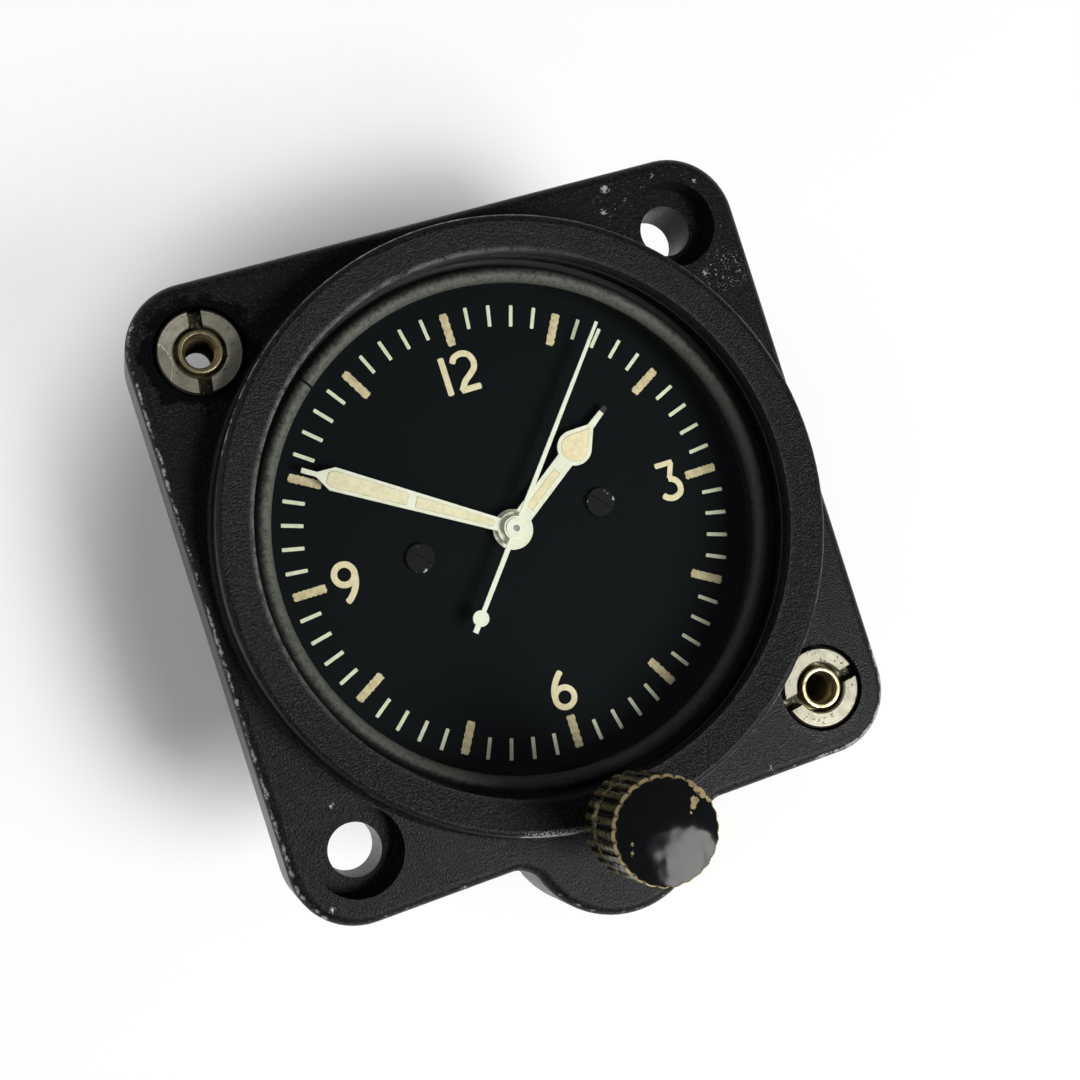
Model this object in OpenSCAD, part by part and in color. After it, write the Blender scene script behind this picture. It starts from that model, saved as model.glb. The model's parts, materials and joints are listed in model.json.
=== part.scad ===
// Panel-mounted aircraft clock with a square flange, a round bezel and a front knob at six o'clock.
// Frame: the origin is on the clock's axis, in the flange's front face, which meets the panel's back.
// +Z points out of the dial, +Y to twelve o'clock and +X to three o'clock. Millimetres throughout.

/* [Flange] */
// Side of the square flange
flange_w = 60.3; // [60:0.1:62]
// Depth of the flange from front to back
flange_t = 9; // [8.6:0.1:10]
// Radius of the flange's corners
corner_r = 6.35; // [5:0.05:7]
// Rounding of the flange's front edge
edge_r = 1; // [0.5:0.1:1.5]
// Circle through the four panel holes
hole_pcd = 66.7; // [66:0.1:67.5]
// Diameter of a panel hole
hole_d = 5; // [4.6:0.1:5.4]
// Diameter of the counterbore that takes a captive nut
counterbore_d = 8.4; // [8:0.1:9]
// Depth of the counterbore
counterbore_depth = 2.7; // [2.2:0.1:3.2]

/* [Bezel] */
// Outside diameter of the round bezel, which passes through the panel
bezel_d = 57; // [56:0.1:57.1]
// Height of the bezel over the flange
bezel_h = 4.5; // [4:0.1:6]
// Rounding of the bezel's outer rim
rim_r = 0.6; // [0.3:0.1:1]
// Drop of the bezel's top towards the glass
rim_drop = 0.5; // [0:0.1:0.8]
// Opening of the lip in front of the glass
lip_d = 50.2; // [48:0.1:50.4]
// Thickness of the lip
lip_t = 1.9; // [1.5:0.1:2.5]

/* [Glass and dial] */
// Diameter of the glass, the dial and the rings behind them
stack_d = 51; // [50.8:0.1:51.2]
// Thickness of the glass
glass_t = 1.6; // [1.2:0.1:2]
// Thickness of the gasket between glass and lip
gasket_t = 0.3; // [0.2:0.05:0.5]
// Width of that gasket
gasket_w = 0.4; // [0.3:0.05:1]
// Height of the ring that holds the glass off the dial
dial_ring_h = 4.9; // [4.5:0.1:6]
// Inside diameter of that ring
dial_ring_d = 46.4; // [45:0.1:48]
// Thickness of the dial
dial_t = 0.8; // [0.5:0.1:1.2]
// Distance of each dial screw from the centre
dial_screw_x = 9.3; // [8.8:0.1:11]
// Radius of a dial screw's head
dial_screw_r = 1.38; // [1.2:0.02:1.6]

/* [Hands] */
// Angle of the hour hand, clockwise from twelve
hour_angle = 55.2; // [0:0.1:360]
// Angle of the minute hand
minute_angle = 302; // [0:0.1:360]
// Angle of the seconds hand
seconds_angle = 39.6; // [0:0.1:360]
// Length of the hour hand
hour_len = 15.3; // [13:0.1:17]
// Length of the minute hand
minute_len = 20.9; // [19:0.1:22]
// Length of the seconds hand
seconds_len = 21.8; // [19:0.1:22.5]
// Thickness of the hands
hand_t = 0.25; // [0.15:0.05:0.4]

/* [Knob] */
// Distance of the knob from the clock's axis
knob_offset = 28.6; // [28.4:0.05:29.2]
// Radius of the flange's lobe round the knob
lobe_r = 9; // [8.5:0.1:10]
// Radius of the hollow corner where the lobe leaves the flange
lobe_fillet = 3; // [2:0.1:4]
// Diameter of the knob over its flutes
knob_d = 9.6; // [9:0.1:11]
// Height of the knob
knob_h = 9; // [6:0.1:10]
// Gap under the knob
knob_gap = 2.1; // [0.6:0.1:3]
// Number of flutes round the knob
knob_flutes = 26; // [20:1:30]
// Travel of the knob when it is pulled to set the hands
pull = 2; // [1.8:0.05:2.1]
// Diameter of the stem
stem_d = 2.6; // [2.4:0.05:2.8]
// Outside diameter of the stem's bush
bush_d = 4.4; // [4:0.1:4.6]

/* [Captive nuts] */
// Outside diameter of the slotted ring
nut_ring_d = 7.8; // [7.6:0.1:8.5]
// Outside diameter of the threaded sleeve
nut_sleeve_d = 4.1; // [3.8:0.1:4.8]
// Bore of the sleeve's thread
nut_bore_d = 3; // [2.8:0.1:3.4]
// Width of the ring's slot
nut_slot = 1.25; // [0.8:0.05:1.4]

/* [Movement] */
// Thickness of each plate
plate_t = 1.6; // [1.4:0.1:2]
// Room between dial and front plate for the hands' wheels
motion_h = 3; // [2.9:0.1:4]
// Diameter of the back plate
back_plate_d = 47; // [46:0.1:48]
// Circle through the pillars
pillar_circle = 43; // [42:0.1:43.6]
// Diameter of a pillar
pillar_d = 3; // [2.5:0.1:3.4]
// Height of the barrel
barrel_h = 5; // [4:0.1:7]
// Thickness of the train's wheels
wheel_t = 0.5; // [0.4:0.05:0.6]
// Thickness of the winding wheels
wind_t = 1; // [0.8:0.05:1.1]
// Radius of the balance's rim
balance_r = 6.4; // [5.5:0.1:6.6]
// Radius of the escape wheel's tooth tips
escape_r = 3.6; // [3.2:0.05:3.7]

/* [Rear case] */
// Wall of the rear case
case_wall = 1.6; // [1.2:0.1:2]
// Inside radius of the rear case
case_r = 24.6; // [24.3:0.1:24.8]
// Thickness of the rear case's rim and back
case_rim = 1.6; // [1.4:0.1:2.2]
// Radius of the circle of the rear case's screws
case_screw_r = 27.9; // [27.6:0.1:28]

/* [Hidden] */
$fn = 96;

// Clearances: a running fit, a fixed fit, the play round the stacked discs and the reach of a cut
run = 0.03;
seat = 0.015;
stack_play = 0.2;
cut = 1;

// Colours
paint_black = "#1b1c1e";
paint_dial = "#14181c";
brass = "#b99a52";
nickel = "#b9b4a8";
steel = "#8f949a";
blued = "#33415f";
grey_green = "#7d8478";
hand_white = "#efeee2";
ruby = "#b3304a";
rubber = "#222222";

bore_r = stack_d / 2 + stack_play;

// Heights of the front stack, from the bezel's lip back to the front plate
z_lip = bezel_h - rim_drop - lip_t;
z_glass = z_lip - gasket_t;
z_ring = z_glass - glass_t;
z_dial = z_ring - dial_ring_h;
z_spacer = z_dial - dial_t;
z_plate = z_spacer - motion_h;
z_gears = z_plate - plate_t;

// Heights of the wheels behind the front plate
end_play = 0.15;
wind_gap = 2.3;
z_wind = z_gears - wind_gap;
barrel_gap = 0.6;
z_barrel = z_wind - wind_t - barrel_gap;
great_t = 1;
leaf_over = 0.35;
level_gap = 0.6;
z_centre_wheel = z_barrel - barrel_h - level_gap;
level_step = wheel_t + 1.1;
z_third_wheel = z_centre_wheel - level_step;
z_fourth_wheel = z_third_wheel - level_step;
z_back = z_fourth_wheel - wheel_t - 1;
z_back_end = z_back - plate_t;
z_escape = z_centre_wheel + 2;
roller_gap = 0.3;
roller_t = 0.4;
impulse_gap = 0.15;
balance_t = 1;
z_balance = z_back_end - 1.2;
spring_gap = 0.6;
spring_h = 0.4;
z_hairspring = z_balance - balance_t - spring_gap;
z_cock = z_hairspring - spring_h - spring_gap;
cock_t = 1.6;
case_end_gap = 0.8;
z_case_in = z_cock - cock_t - case_end_gap;
z_case_out = z_case_in - case_rim;

// Heights of the hands over the dial
hand_gap = 0.4;
z_hour = z_dial + 0.7;
z_minute = z_hour + hand_t + hand_gap;
z_seconds = z_minute + hand_t + hand_gap;
seconds_boss = 0.35;

// Tooth counts. The train turns the seconds arbor sixty times as fast as the centre arbor
n_great = 72;
n_centre_leaf = 12;
n_centre = 64;
n_third_leaf = 8;
n_third = 60;
n_fourth_leaf = 8;
n_fourth = 60;
n_escape_leaf = 6;
n_escape = 15;
n_cannon = 12;
n_minute = 36;
n_minute_leaf = 12;
n_hour = 48;
n_setting = 66;
n_set_leaf = 16;
n_ratchet = 24;
n_transmission = 20;
n_wind_leaf = 16;

// Modules and centre distances
m_great = 0.3;
m_centre = 0.25;
train_dist = (n_centre + n_third_leaf) * m_centre / 2;
m_third = 2 * train_dist / (n_third + n_fourth_leaf);
m_fourth = 0.265;
escape_dist = (n_fourth + n_escape_leaf) * m_fourth / 2;
m_cannon = 0.25;
motion_dist = (n_cannon + n_minute) * m_cannon / 2;
m_hour = 2 * motion_dist / (n_minute_leaf + n_hour);
barrel_dist = (n_great + n_centre_leaf) * m_great / 2;
m_wind = 2 * (knob_offset - barrel_dist) / (n_ratchet + 2 * n_transmission + n_wind_leaf);
setting_dist = (n_setting + n_set_leaf) * m_cannon / 2;

// Arbor centres in the clock's face plane
third_dir = 40;
escape_dir = 130;
lever_dir = 190;
pallet_dist = 4.6;
roller_dist = 6.2;
function polar(r, a) = [r * cos(a), r * sin(a)];
function angle_to(p, q) = atan2(q[1] - p[1], q[0] - p[0]);
at_centre = [0, 0];
at_third = polar(train_dist, third_dir);
at_escape = polar(escape_dist, escape_dir);
at_pallet = at_escape + polar(pallet_dist, lever_dir);
at_balance = at_pallet + polar(roller_dist, lever_dir);
at_barrel = [0, -barrel_dist];
at_transmission = [0, -barrel_dist - (n_ratchet + n_transmission) * m_wind / 2];
at_knob = [0, -knob_offset];
at_setting = [0, -knob_offset + setting_dist];
minute_reach = (n_setting + n_minute) * m_cannon / 2;
setting_drop = -at_setting[1];
minute_swing = acos((motion_dist ^ 2 + setting_drop ^ 2 - minute_reach ^ 2)
    / (2 * motion_dist * setting_drop));
at_minute = polar(motion_dist, 270 + minute_swing);
at_click = at_barrel + polar(9.2, -22);
at_cock_foot = at_balance + polar(10.4, -50);
at_yoke_pin = at_knob - [0, 4.4];
pillar_dirs = [65, 140, 205, 345];
case_screw_dirs = [30, 150, 210, 330];

// Radii of the arbors, inside one another at the centre
seconds_r = 0.3;
tube_r = 0.62;
cannon_r = 0.95;
hour_pipe_r = 1.3;
arbor_r = 0.42;
pivot_r = 0.28;
pivot_len = 0.8;
jewel_r = 1;
barrel_arbor_r = 1.5;
barrel_pivot_r = 1;
barrel_square = 2;
bush_r = 1.8;
bush_len = 3.4;
post_r = 0.9;
minute_post_r = 0.6;
drum_wall = 0.8;
drum_r = 10;
staff_hole_r = 1.4;

// Placing and plain round shapes
module at(p, z = 0) {
    translate([p[0], p[1], z]) children();
}

module disc(r, z_low, z_high) {
    translate([0, 0, z_low]) cylinder(r = r, h = z_high - z_low);
}

module ring(r_out, r_in, z_low, z_high) {
    difference() {
        disc(r_out, z_low, z_high);
        disc(r_in, z_low - cut, z_high + cut);
    }
}

// Slotted screw with its head's top at z = 0, pointing down
module slotted_screw(head_r, head_h, shank_r, len, slot) {
    difference() {
        union() {
            disc(head_r, -head_h, 0);
            disc(shank_r, -head_h - len, -head_h);
        }
        translate([-head_r - cut, -slot / 2, -head_h / 2]) cube([2 * (head_r + cut), slot, head_h]);
    }
}

// Cycloidal teeth. The flank over the pitch circle is rolled by a circle of half the mate's radius
wheel_share = 0.88;
leaf_share = 0.72;
wheel_add = 0.95;
wheel_ded = 1.15;
leaf_add = 0.45;
leaf_ded = 1.25;
leaf_taper = 0.45;

function turned(p, a) = [p[0] * cos(a) - p[1] * sin(a), p[0] * sin(a) + p[1] * cos(a)];

function roll_angle(r, q, add) = acos(((r + q) ^ 2 + q ^ 2 - (r + add) ^ 2) / (2 * (r + q) * q));

function flank_lean(r, q, add) =
    let (f = roll_angle(r, q, add), t = f * q / r)
    atan2((r + q) * sin(t) - q * sin(t + f), (r + q) * cos(t) - q * cos(t + f));

function tooth(r, r_root, r_tip, half, tip_half) =
    [polar(r_root, -half), polar(r, -half), polar(r_tip, -tip_half),
     polar(r_tip, tip_half), polar(r, half), polar(r_root, half)];

function toothed(teeth, one) =
    [for (i = [0:teeth - 1]) for (p = one) turned(p, i * 360 / teeth)];

function wheel_outline(teeth, m, mate) =
    let (r = teeth * m / 2, half = 90 / teeth * wheel_share,
         lean = flank_lean(r, mate * m / 4, wheel_add * m))
    toothed(teeth, tooth(r, r - wheel_ded * m, r + wheel_add * m, half, max(half - lean, half / 8)));

function leaf_outline(teeth, m) =
    let (r = teeth * m / 2, half = 90 / teeth * leaf_share)
    toothed(teeth, tooth(r, r - leaf_ded * m, r + leaf_add * m, half, half * leaf_taper));

// A wheel with a tooth, or a pinion with a gap, on the line to its mate
module toothed_wheel(teeth, m, mate, t, dir) {
    rotate(dir) linear_extrude(t) polygon(wheel_outline(teeth, m, mate));
}

module toothed_leaves(teeth, m, h, dir) {
    rotate(dir + 180 / teeth) linear_extrude(h) polygon(leaf_outline(teeth, m));
}

// Openings between a wheel's arms, from the hub to the rim
module crossings(r_hub, r_rim, arms, arm_w, t) {
    difference() {
        ring(r_rim, r_hub, -cut, t + cut);
        for (i = [0:arms - 1]) rotate(i * 360 / arms)
            translate([0, -arm_w / 2, -2 * cut]) cube([r_rim + cut, arm_w, t + 4 * cut]);
    }
}

// Train wheel: toothed rim, crossed-out arms, and a hub bored for its arbor
module train_wheel(teeth, m, mate, dir, bore, hub, arms) {
    rim = teeth * m / 2 - wheel_ded * m - 0.6;
    difference() {
        toothed_wheel(teeth, m, mate, wheel_t, dir);
        crossings(hub, rim, arms, 0.8, wheel_t);
        disc(bore, -cut, wheel_t + cut);
    }
}

// Arbor between the plates, with a thinner pivot at each end
module plain_arbor(r, z_low, z_high) {
    disc(r, z_low + end_play, z_high - end_play);
    disc(pivot_r, z_low - pivot_len, z_low + end_play);
    disc(pivot_r, z_high - end_play, z_high + pivot_len);
}

// Casting: flange, lobe and bezel
module rounded_disc(r, h, e) {
    rotate_extrude() {
        square([r - e, h]);
        square([r, h - e]);
        translate([r - e, h - e]) circle(e, $fn = 32);
    }
}

corner_at = flange_w / 2 - corner_r;
module rounded_bar(len, w) {
    translate([-len / 2, 0, 0]) rotate([90, 0, 90]) linear_extrude(len) {
        translate([-w / 2, 0]) square([w, flange_t - edge_r]);
        translate([edge_r - w / 2, 0]) square([w - 2 * edge_r, flange_t]);
        for (x = [edge_r - w / 2, w / 2 - edge_r])
            translate([x, flange_t - edge_r]) circle(edge_r, $fn = 32);
    }
}

module flange_plate() {
    translate([0, 0, -flange_t]) {
        rounded_bar(2 * corner_at, flange_w);
        rotate(90) rounded_bar(2 * corner_at, flange_w);
        for (x = [-corner_at, corner_at]) for (y = [-corner_at, corner_at])
            translate([x, y, 0]) rounded_disc(corner_r, flange_t, edge_r);
    }
}

// The web fills the corner between lobe and flange, cut hollow by a flared tool on each side
fillet_bite = 0.98;
lobe_out = flange_w / 2 - knob_offset;
fillet_off = lobe_fillet * fillet_bite;
fillet_x = sqrt((lobe_r + fillet_off) ^ 2 - (lobe_out + fillet_off) ^ 2);
web_depth = lobe_r * (lobe_out + lobe_fillet) / (lobe_r + lobe_fillet) - lobe_out;
module fillet_tool() {
    rotate_extrude() {
        translate([0, -flange_t - cut]) square([lobe_fillet, flange_t + 2 * cut]);
        difference() {
            translate([0, -edge_r]) square([lobe_fillet + edge_r, edge_r + cut]);
            translate([lobe_fillet + edge_r, -edge_r]) circle(edge_r, $fn = 32);
        }
    }
}

module lobe() {
    at(at_knob, -flange_t) rounded_disc(lobe_r, flange_t, edge_r);
    difference() {
        translate([-fillet_x, -flange_w / 2 - web_depth, -flange_t])
            cube([2 * fillet_x, web_depth + 2 * edge_r, flange_t]);
        for (x = [-fillet_x, fillet_x])
            translate([x, -flange_w / 2 - fillet_off, 0]) fillet_tool();
    }
}

bezel_fillet = 0.5;
module bezel_body() {
    r = bezel_d / 2;
    rotate_extrude() difference() {
        union() {
            polygon([[lip_d / 2 - cut, -edge_r], [r, -edge_r], [r, bezel_h - rim_r],
                     [r - rim_r, bezel_h], [lip_d / 2 - cut, bezel_h - rim_drop]]);
            translate([r - rim_r, bezel_h - rim_r]) circle(rim_r, $fn = 32);
            translate([r - edge_r, -edge_r]) square([edge_r + bezel_fillet, edge_r + bezel_fillet]);
        }
        translate([r + bezel_fillet, bezel_fillet]) circle(bezel_fillet, $fn = 32);
    }
}

hole_at = hole_pcd / 2 / sqrt(2);
boss_wall = 0.7;
nut_hole_play = 0.05;
nut_tail = 1;
tap_depth = 4;
case_screw_shank = 1;
yoke_pin_r = 0.75;
yoke_pin_set = 2;
pocket_gap = 0.4;
set_r = n_set_leaf * m_cannon / 2;
setting_r = n_setting * m_cannon / 2;
z_set_wheel = z_plate + 0.3;
motion_t = 0.7;
z_set_top = z_set_wheel + motion_t;
z_pocket = z_set_wheel + 0.1;
module bezel_casting() {
    color(paint_black) difference() {
        union() {
            flange_plate();
            lobe();
            bezel_body();
            at(at_knob) disc(bush_d / 2 + boss_wall, -edge_r, bezel_h - rim_drop);
        }
        disc(lip_d / 2, z_lip - cut, bezel_h + cut);
        disc(bore_r, -flange_t - cut, z_lip);
        for (x = [-1, 1]) for (y = [-1, 1]) translate([x * hole_at, y * hole_at, 0]) {
            disc(x == y ? hole_d / 2 : nut_sleeve_d / 2 + nut_hole_play, -flange_t - cut, cut);
            disc(counterbore_d / 2, -counterbore_depth, cut);
        }
        at(at_knob) disc(bush_d / 2 + seat, -flange_t - cut, bezel_h + cut);
        at(at_knob) disc(set_r + 2 * pocket_gap, -flange_t - cut, z_pocket);
        at(at_setting) disc(setting_r + 2 * pocket_gap, -flange_t - cut, z_set_top + pocket_gap);
        at(at_yoke_pin) disc(yoke_pin_r + seat, -flange_t - cut, yoke_pin_set - flange_t);
        for (a = case_screw_dirs) at(polar(case_screw_r, a))
            disc(case_screw_shank + seat, -flange_t - cut, tap_depth - flange_t);
    }
}

// Rear case: a can with a rim, and a low housing that covers the end of the stem
case_rim_r = bezel_d / 2 + 1;
housing_r = 6.3;
housing_depth = 9.4;
screw_head_r = 1.5;
screw_head_h = 1.2;
module housing(r, z_low, z_high) {
    at(at_knob) disc(r, z_low, z_high);
    translate([-r, -knob_offset, z_low]) cube([2 * r, knob_offset - case_r + 6, z_high - z_low]);
}

module rear_case() {
    z_rim = -flange_t - case_rim;
    color(paint_black) difference() {
        union() {
            disc(case_rim_r, z_rim, -flange_t);
            disc(case_r + case_wall, z_case_out, -flange_t);
            housing(housing_r + case_wall, -flange_t - housing_depth, -flange_t);
        }
        disc(case_r, z_case_in, cut - flange_t);
        disc(bore_r, z_gears, cut - flange_t);
        housing(housing_r, -flange_t - housing_depth + case_wall, cut - flange_t);
        for (a = case_screw_dirs) at(polar(case_screw_r, a))
            disc(case_screw_shank + 0.1, z_rim - cut, cut - flange_t);
    }
}

module case_screws() {
    color(steel) for (a = case_screw_dirs) at(polar(case_screw_r, a), -flange_t - case_rim - screw_head_h)
        mirror([0, 0, 1])
            slotted_screw(screw_head_r, screw_head_h, case_screw_shank, case_rim + tap_depth - 0.5, 0.5);
}

// Front stack
module glass() {
    bevel = 0.2;
    r = stack_d / 2;
    color("#dfe8ea", 0.3) rotate_extrude() translate([0, z_ring])
        polygon([[0, 0], [r, 0], [r, glass_t - bevel], [r - bevel, glass_t], [0, glass_t]]);
}

module glass_gasket() {
    color(rubber) ring(stack_d / 2, stack_d / 2 - gasket_w, z_glass, z_lip);
}

ring_split = 0.25;
ring_split_dir = 130;
bead_r = 0.8;
bead_land = 0.2;
bead_drop = 1.1;
module dial_ring() {
    bead_mid = dial_ring_d / 2 + bead_r;
    wall_in = bead_mid + bead_land;
    color(grey_green) difference() {
        rotate_extrude() union() {
            translate([bead_mid, z_ring - seat - bead_r]) circle(bead_r, $fn = 32);
            translate([wall_in, z_dial]) square([stack_d / 2 - wall_in, dial_ring_h - bead_drop]);
        }
        rotate(ring_split_dir) translate([dial_ring_d / 2 - cut, -ring_split / 2, z_dial - cut])
            cube([stack_d, ring_split, dial_ring_h + 2 * cut]);
    }
}

dial_screw_shank = 0.8;
module dial() {
    color(paint_dial) difference() {
        disc(stack_d / 2, z_spacer, z_dial);
        disc(hour_pipe_r + 0.3, z_spacer - cut, z_dial + cut);
        for (x = [-dial_screw_x, dial_screw_x]) translate([x, 0, 0])
            disc(dial_screw_shank + 0.1, z_spacer - cut, z_dial + cut);
    }
}

dial_screw_h = 0.5;
dial_screw_turn = 48;
module dial_screws() {
    color(paint_black) for (x = [-dial_screw_x, dial_screw_x])
        translate([x, 0, z_dial + dial_screw_h]) rotate(-dial_screw_turn)
            slotted_screw(dial_screw_r, dial_screw_h, dial_screw_shank, dial_t + motion_h - 0.5, 0.3);
}

motion_ring_w = 3;
module motion_ring() {
    color(brass) difference() {
        ring(stack_d / 2, stack_d / 2 - motion_ring_w, z_plate, z_spacer);
        at(at_setting) disc(setting_r + 2 * pocket_gap, z_plate - cut, z_set_top + pocket_gap);
    }
}

// Captive nuts in two opposite corners: a collared sleeve held down by a slotted ring
nut_low = 0.1;
nut_ring_r = nut_ring_d / 2;
nut_ring_t = 1.4;
nut_groove = 0.35;
nut_slot_depth = 1.1;
nut_edge = 0.15;
nut_turns = [82, 9];
nut_corners = [[-1, 1], [1, -1]];
module nut_ring() {
    inner = nut_sleeve_d / 2 + nut_groove;
    difference() {
        rotate_extrude() translate([0, -nut_low])
            polygon([[inner, -nut_ring_t], [nut_ring_r, -nut_ring_t], [nut_ring_r, -nut_edge],
                     [nut_ring_r - nut_edge, 0], [inner + nut_edge, 0], [inner, -nut_edge]]);
        translate([-nut_ring_r - cut, -nut_slot / 2, -nut_low - nut_slot_depth])
            cube([2 * (nut_ring_r + cut), nut_slot, nut_slot_depth + nut_low + cut]);
    }
}

module captive_nut_rings() {
    color(nickel) for (i = [0, 1]) at(nut_corners[i] * hole_at) rotate(nut_turns[i]) nut_ring();
}

// Sleeve: a tube with a collar under the ring, and both edges of its mouth chamfered
module nut_sleeve() {
    r = nut_sleeve_d / 2;
    bore = nut_bore_d / 2;
    mouth = (r - bore) / 4;
    z_collar = -nut_low - nut_ring_t;
    rotate_extrude()
        polygon([[bore, nut_tail - flange_t], [r, nut_tail - flange_t], [r, -counterbore_depth],
                 [nut_ring_r, -counterbore_depth], [nut_ring_r, z_collar], [r, z_collar],
                 [r, -nut_low - mouth * 0.7], [r - mouth * 0.7, -nut_low], [bore + mouth, -nut_low],
                 [bore, -nut_low - mouth]]);
}

module captive_nut_sleeves() {
    color(brass) for (c = nut_corners) at(c * hole_at) nut_sleeve();
}

// Plates, pillars and bearings
jewel_t = 0.8;
foot_r = 2.4;
module front_plate() {
    color(brass) difference() {
        union() {
            disc(stack_d / 2, z_gears, z_plate);
            for (x = [-dial_screw_x, dial_screw_x]) translate([x, 0, 0])
                disc(dial_screw_shank + 0.9, z_plate, z_spacer);
        }
        disc(bush_r + seat, z_gears - cut, z_plate + cut);
        for (x = [-dial_screw_x, dial_screw_x]) translate([x, 0, 0])
            disc(dial_screw_shank + seat, z_plate, z_spacer + cut);
        at(at_third) disc(pivot_r + run, z_gears - cut, z_plate + cut);
        for (p = [at_escape, at_pallet, at_balance]) at(p)
            disc(jewel_r + seat, z_gears - cut, z_plate + cut);
        at(at_barrel) disc(barrel_pivot_r + run, z_gears - cut, z_plate + cut);
        for (p = [at_minute, at_setting, at_transmission, at_click]) at(p)
            disc(post_r + seat, z_gears - cut, z_plate + cut);
    }
}

module back_plate() {
    color(brass) difference() {
        disc(back_plate_d / 2, z_back_end, z_back);
        at(at_third) disc(pivot_r + run, z_back_end - cut, z_back + cut);
        for (p = [at_centre, at_escape, at_pallet]) at(p)
            disc(jewel_r + seat, z_back_end - cut, z_back + cut);
        at(at_balance) disc(staff_hole_r, z_back_end - cut, z_back + cut);
        at(at_barrel) disc(barrel_pivot_r + run, z_back_end - cut, z_back + cut);
        at(at_cock_foot) disc(post_r + seat, z_back_end - cut, z_back + cut);
        for (a = pillar_dirs) at(polar(pillar_circle / 2, a))
            disc(post_r + 0.1, z_back_end - cut, z_back + cut);
    }
}

pillar_tap = 3;
module pillars() {
    color(brass) for (a = pillar_dirs) at(polar(pillar_circle / 2, a)) difference() {
        disc(pillar_d / 2, z_back, z_gears);
        disc(post_r + seat, z_back - cut, z_back + pillar_tap);
    }
}

module pillar_screws() {
    color(blued) for (a = pillar_dirs) at(polar(pillar_circle / 2, a), z_back_end - 0.8)
        mirror([0, 0, 1]) slotted_screw(pillar_d / 2, 0.8, post_r, plate_t + pillar_tap - 0.5, 0.4);
}

module centre_bush() {
    color(brass) difference() {
        union() {
            disc(bush_r, z_gears, z_plate);
            disc(bush_r + 0.6, z_plate - bush_len + 0.2, z_gears);
        }
        disc(tube_r + run, z_plate - bush_len - cut, z_plate + cut);
    }
}

module jewels() {
    color(ruby) {
        for (p = [at_escape, at_pallet, at_balance]) at(p)
            ring(jewel_r, pivot_r + run, z_gears, z_gears + jewel_t);
        for (p = [at_escape, at_pallet]) at(p) ring(jewel_r, pivot_r + run, z_back - jewel_t, z_back);
        ring(jewel_r, seconds_r + run, z_back - jewel_t, z_back);
        at(at_balance) ring(jewel_r, pivot_r + run, z_cock - jewel_t, z_cock);
    }
}

// Studs that the hands' wheels and the winding wheels turn on
post_head = 0.4;
module stud(z_low, z_high, z_cap, r_cap) {
    disc(post_r, z_low, z_high);
    disc(r_cap, min(z_cap, z_cap + post_head), max(z_cap, z_cap + post_head));
}

z_hour_wheel = z_set_top + 0.4;
z_minute_leaf_end = z_hour_wheel + wheel_t + leaf_over;
module minute_post() {
    color(steel) at(at_minute) {
        disc(post_r, z_gears, z_plate);
        disc(minute_post_r, z_plate, z_minute_leaf_end + end_play);
    }
}

module setting_post() {
    color(steel) at(at_setting) {
        disc(post_r, z_gears, z_set_top + end_play);
        disc(post_r + 0.6, z_set_top + end_play, z_set_top + end_play + post_head);
    }
}

module transmission_post() {
    color(steel) at(at_transmission) {
        disc(post_r, z_wind - wind_t - end_play, z_plate);
        disc(post_r + 0.7, z_wind + end_play, z_gears);
        disc(post_r + 0.6, z_wind - wind_t - end_play - post_head / 2, z_wind - wind_t - end_play);
    }
}

module click_screw() {
    color(blued) at(at_click) {
        disc(post_r, z_wind - wind_t - end_play, z_plate);
        disc(post_r + 0.7, z_wind + end_play, z_gears);
        disc(post_r + 0.5, z_wind - wind_t - end_play - post_head / 2, z_wind - wind_t - end_play);
    }
}

// Hands. Each is drawn pointing to twelve, then turned clockwise
module hand(angle, z) {
    translate([0, 0, z]) rotate(-angle) linear_extrude(hand_t) children();
}

// Tapered bar along +Y from y1 to y2, with a half-width at each end
module taper(y1, w1, y2, w2) {
    polygon([[-w1, y1], [w1, y1], [w2, y2], [-w2, y2]]);
}

bulb_y = 10.1;
bulb_r = 1.72;
bulb_neck = 13.3;
tip_half = 0.23;
bulb_tangent = acos(bulb_r / (bulb_neck - bulb_y));
module bulb(r) {
    x = r * sin(bulb_tangent);
    y = r * cos(bulb_tangent);
    translate([0, bulb_y]) {
        circle(r, $fn = 48);
        polygon([[0, 0], [x, y], [0, (bulb_neck - bulb_y) * r / bulb_r], [-x, y]]);
    }
}

hour_stem_half = 0.86;
hour_hub_r = 1.95;
lume_border = 0.38;
module hour_hand() {
    color(hand_white) hand(hour_angle, z_hour) difference() {
        union() {
            circle(hour_hub_r);
            taper(0, hour_stem_half, bulb_y, hour_stem_half);
            bulb(bulb_r);
            taper(bulb_y, tip_half * 2, hour_len, tip_half);
        }
        circle(hour_pipe_r + seat);
        taper(hour_hub_r + 0.7, lume_border, bulb_y - bulb_r - 1.2, lume_border);
        bulb(bulb_r - lume_border);
    }
}

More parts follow.
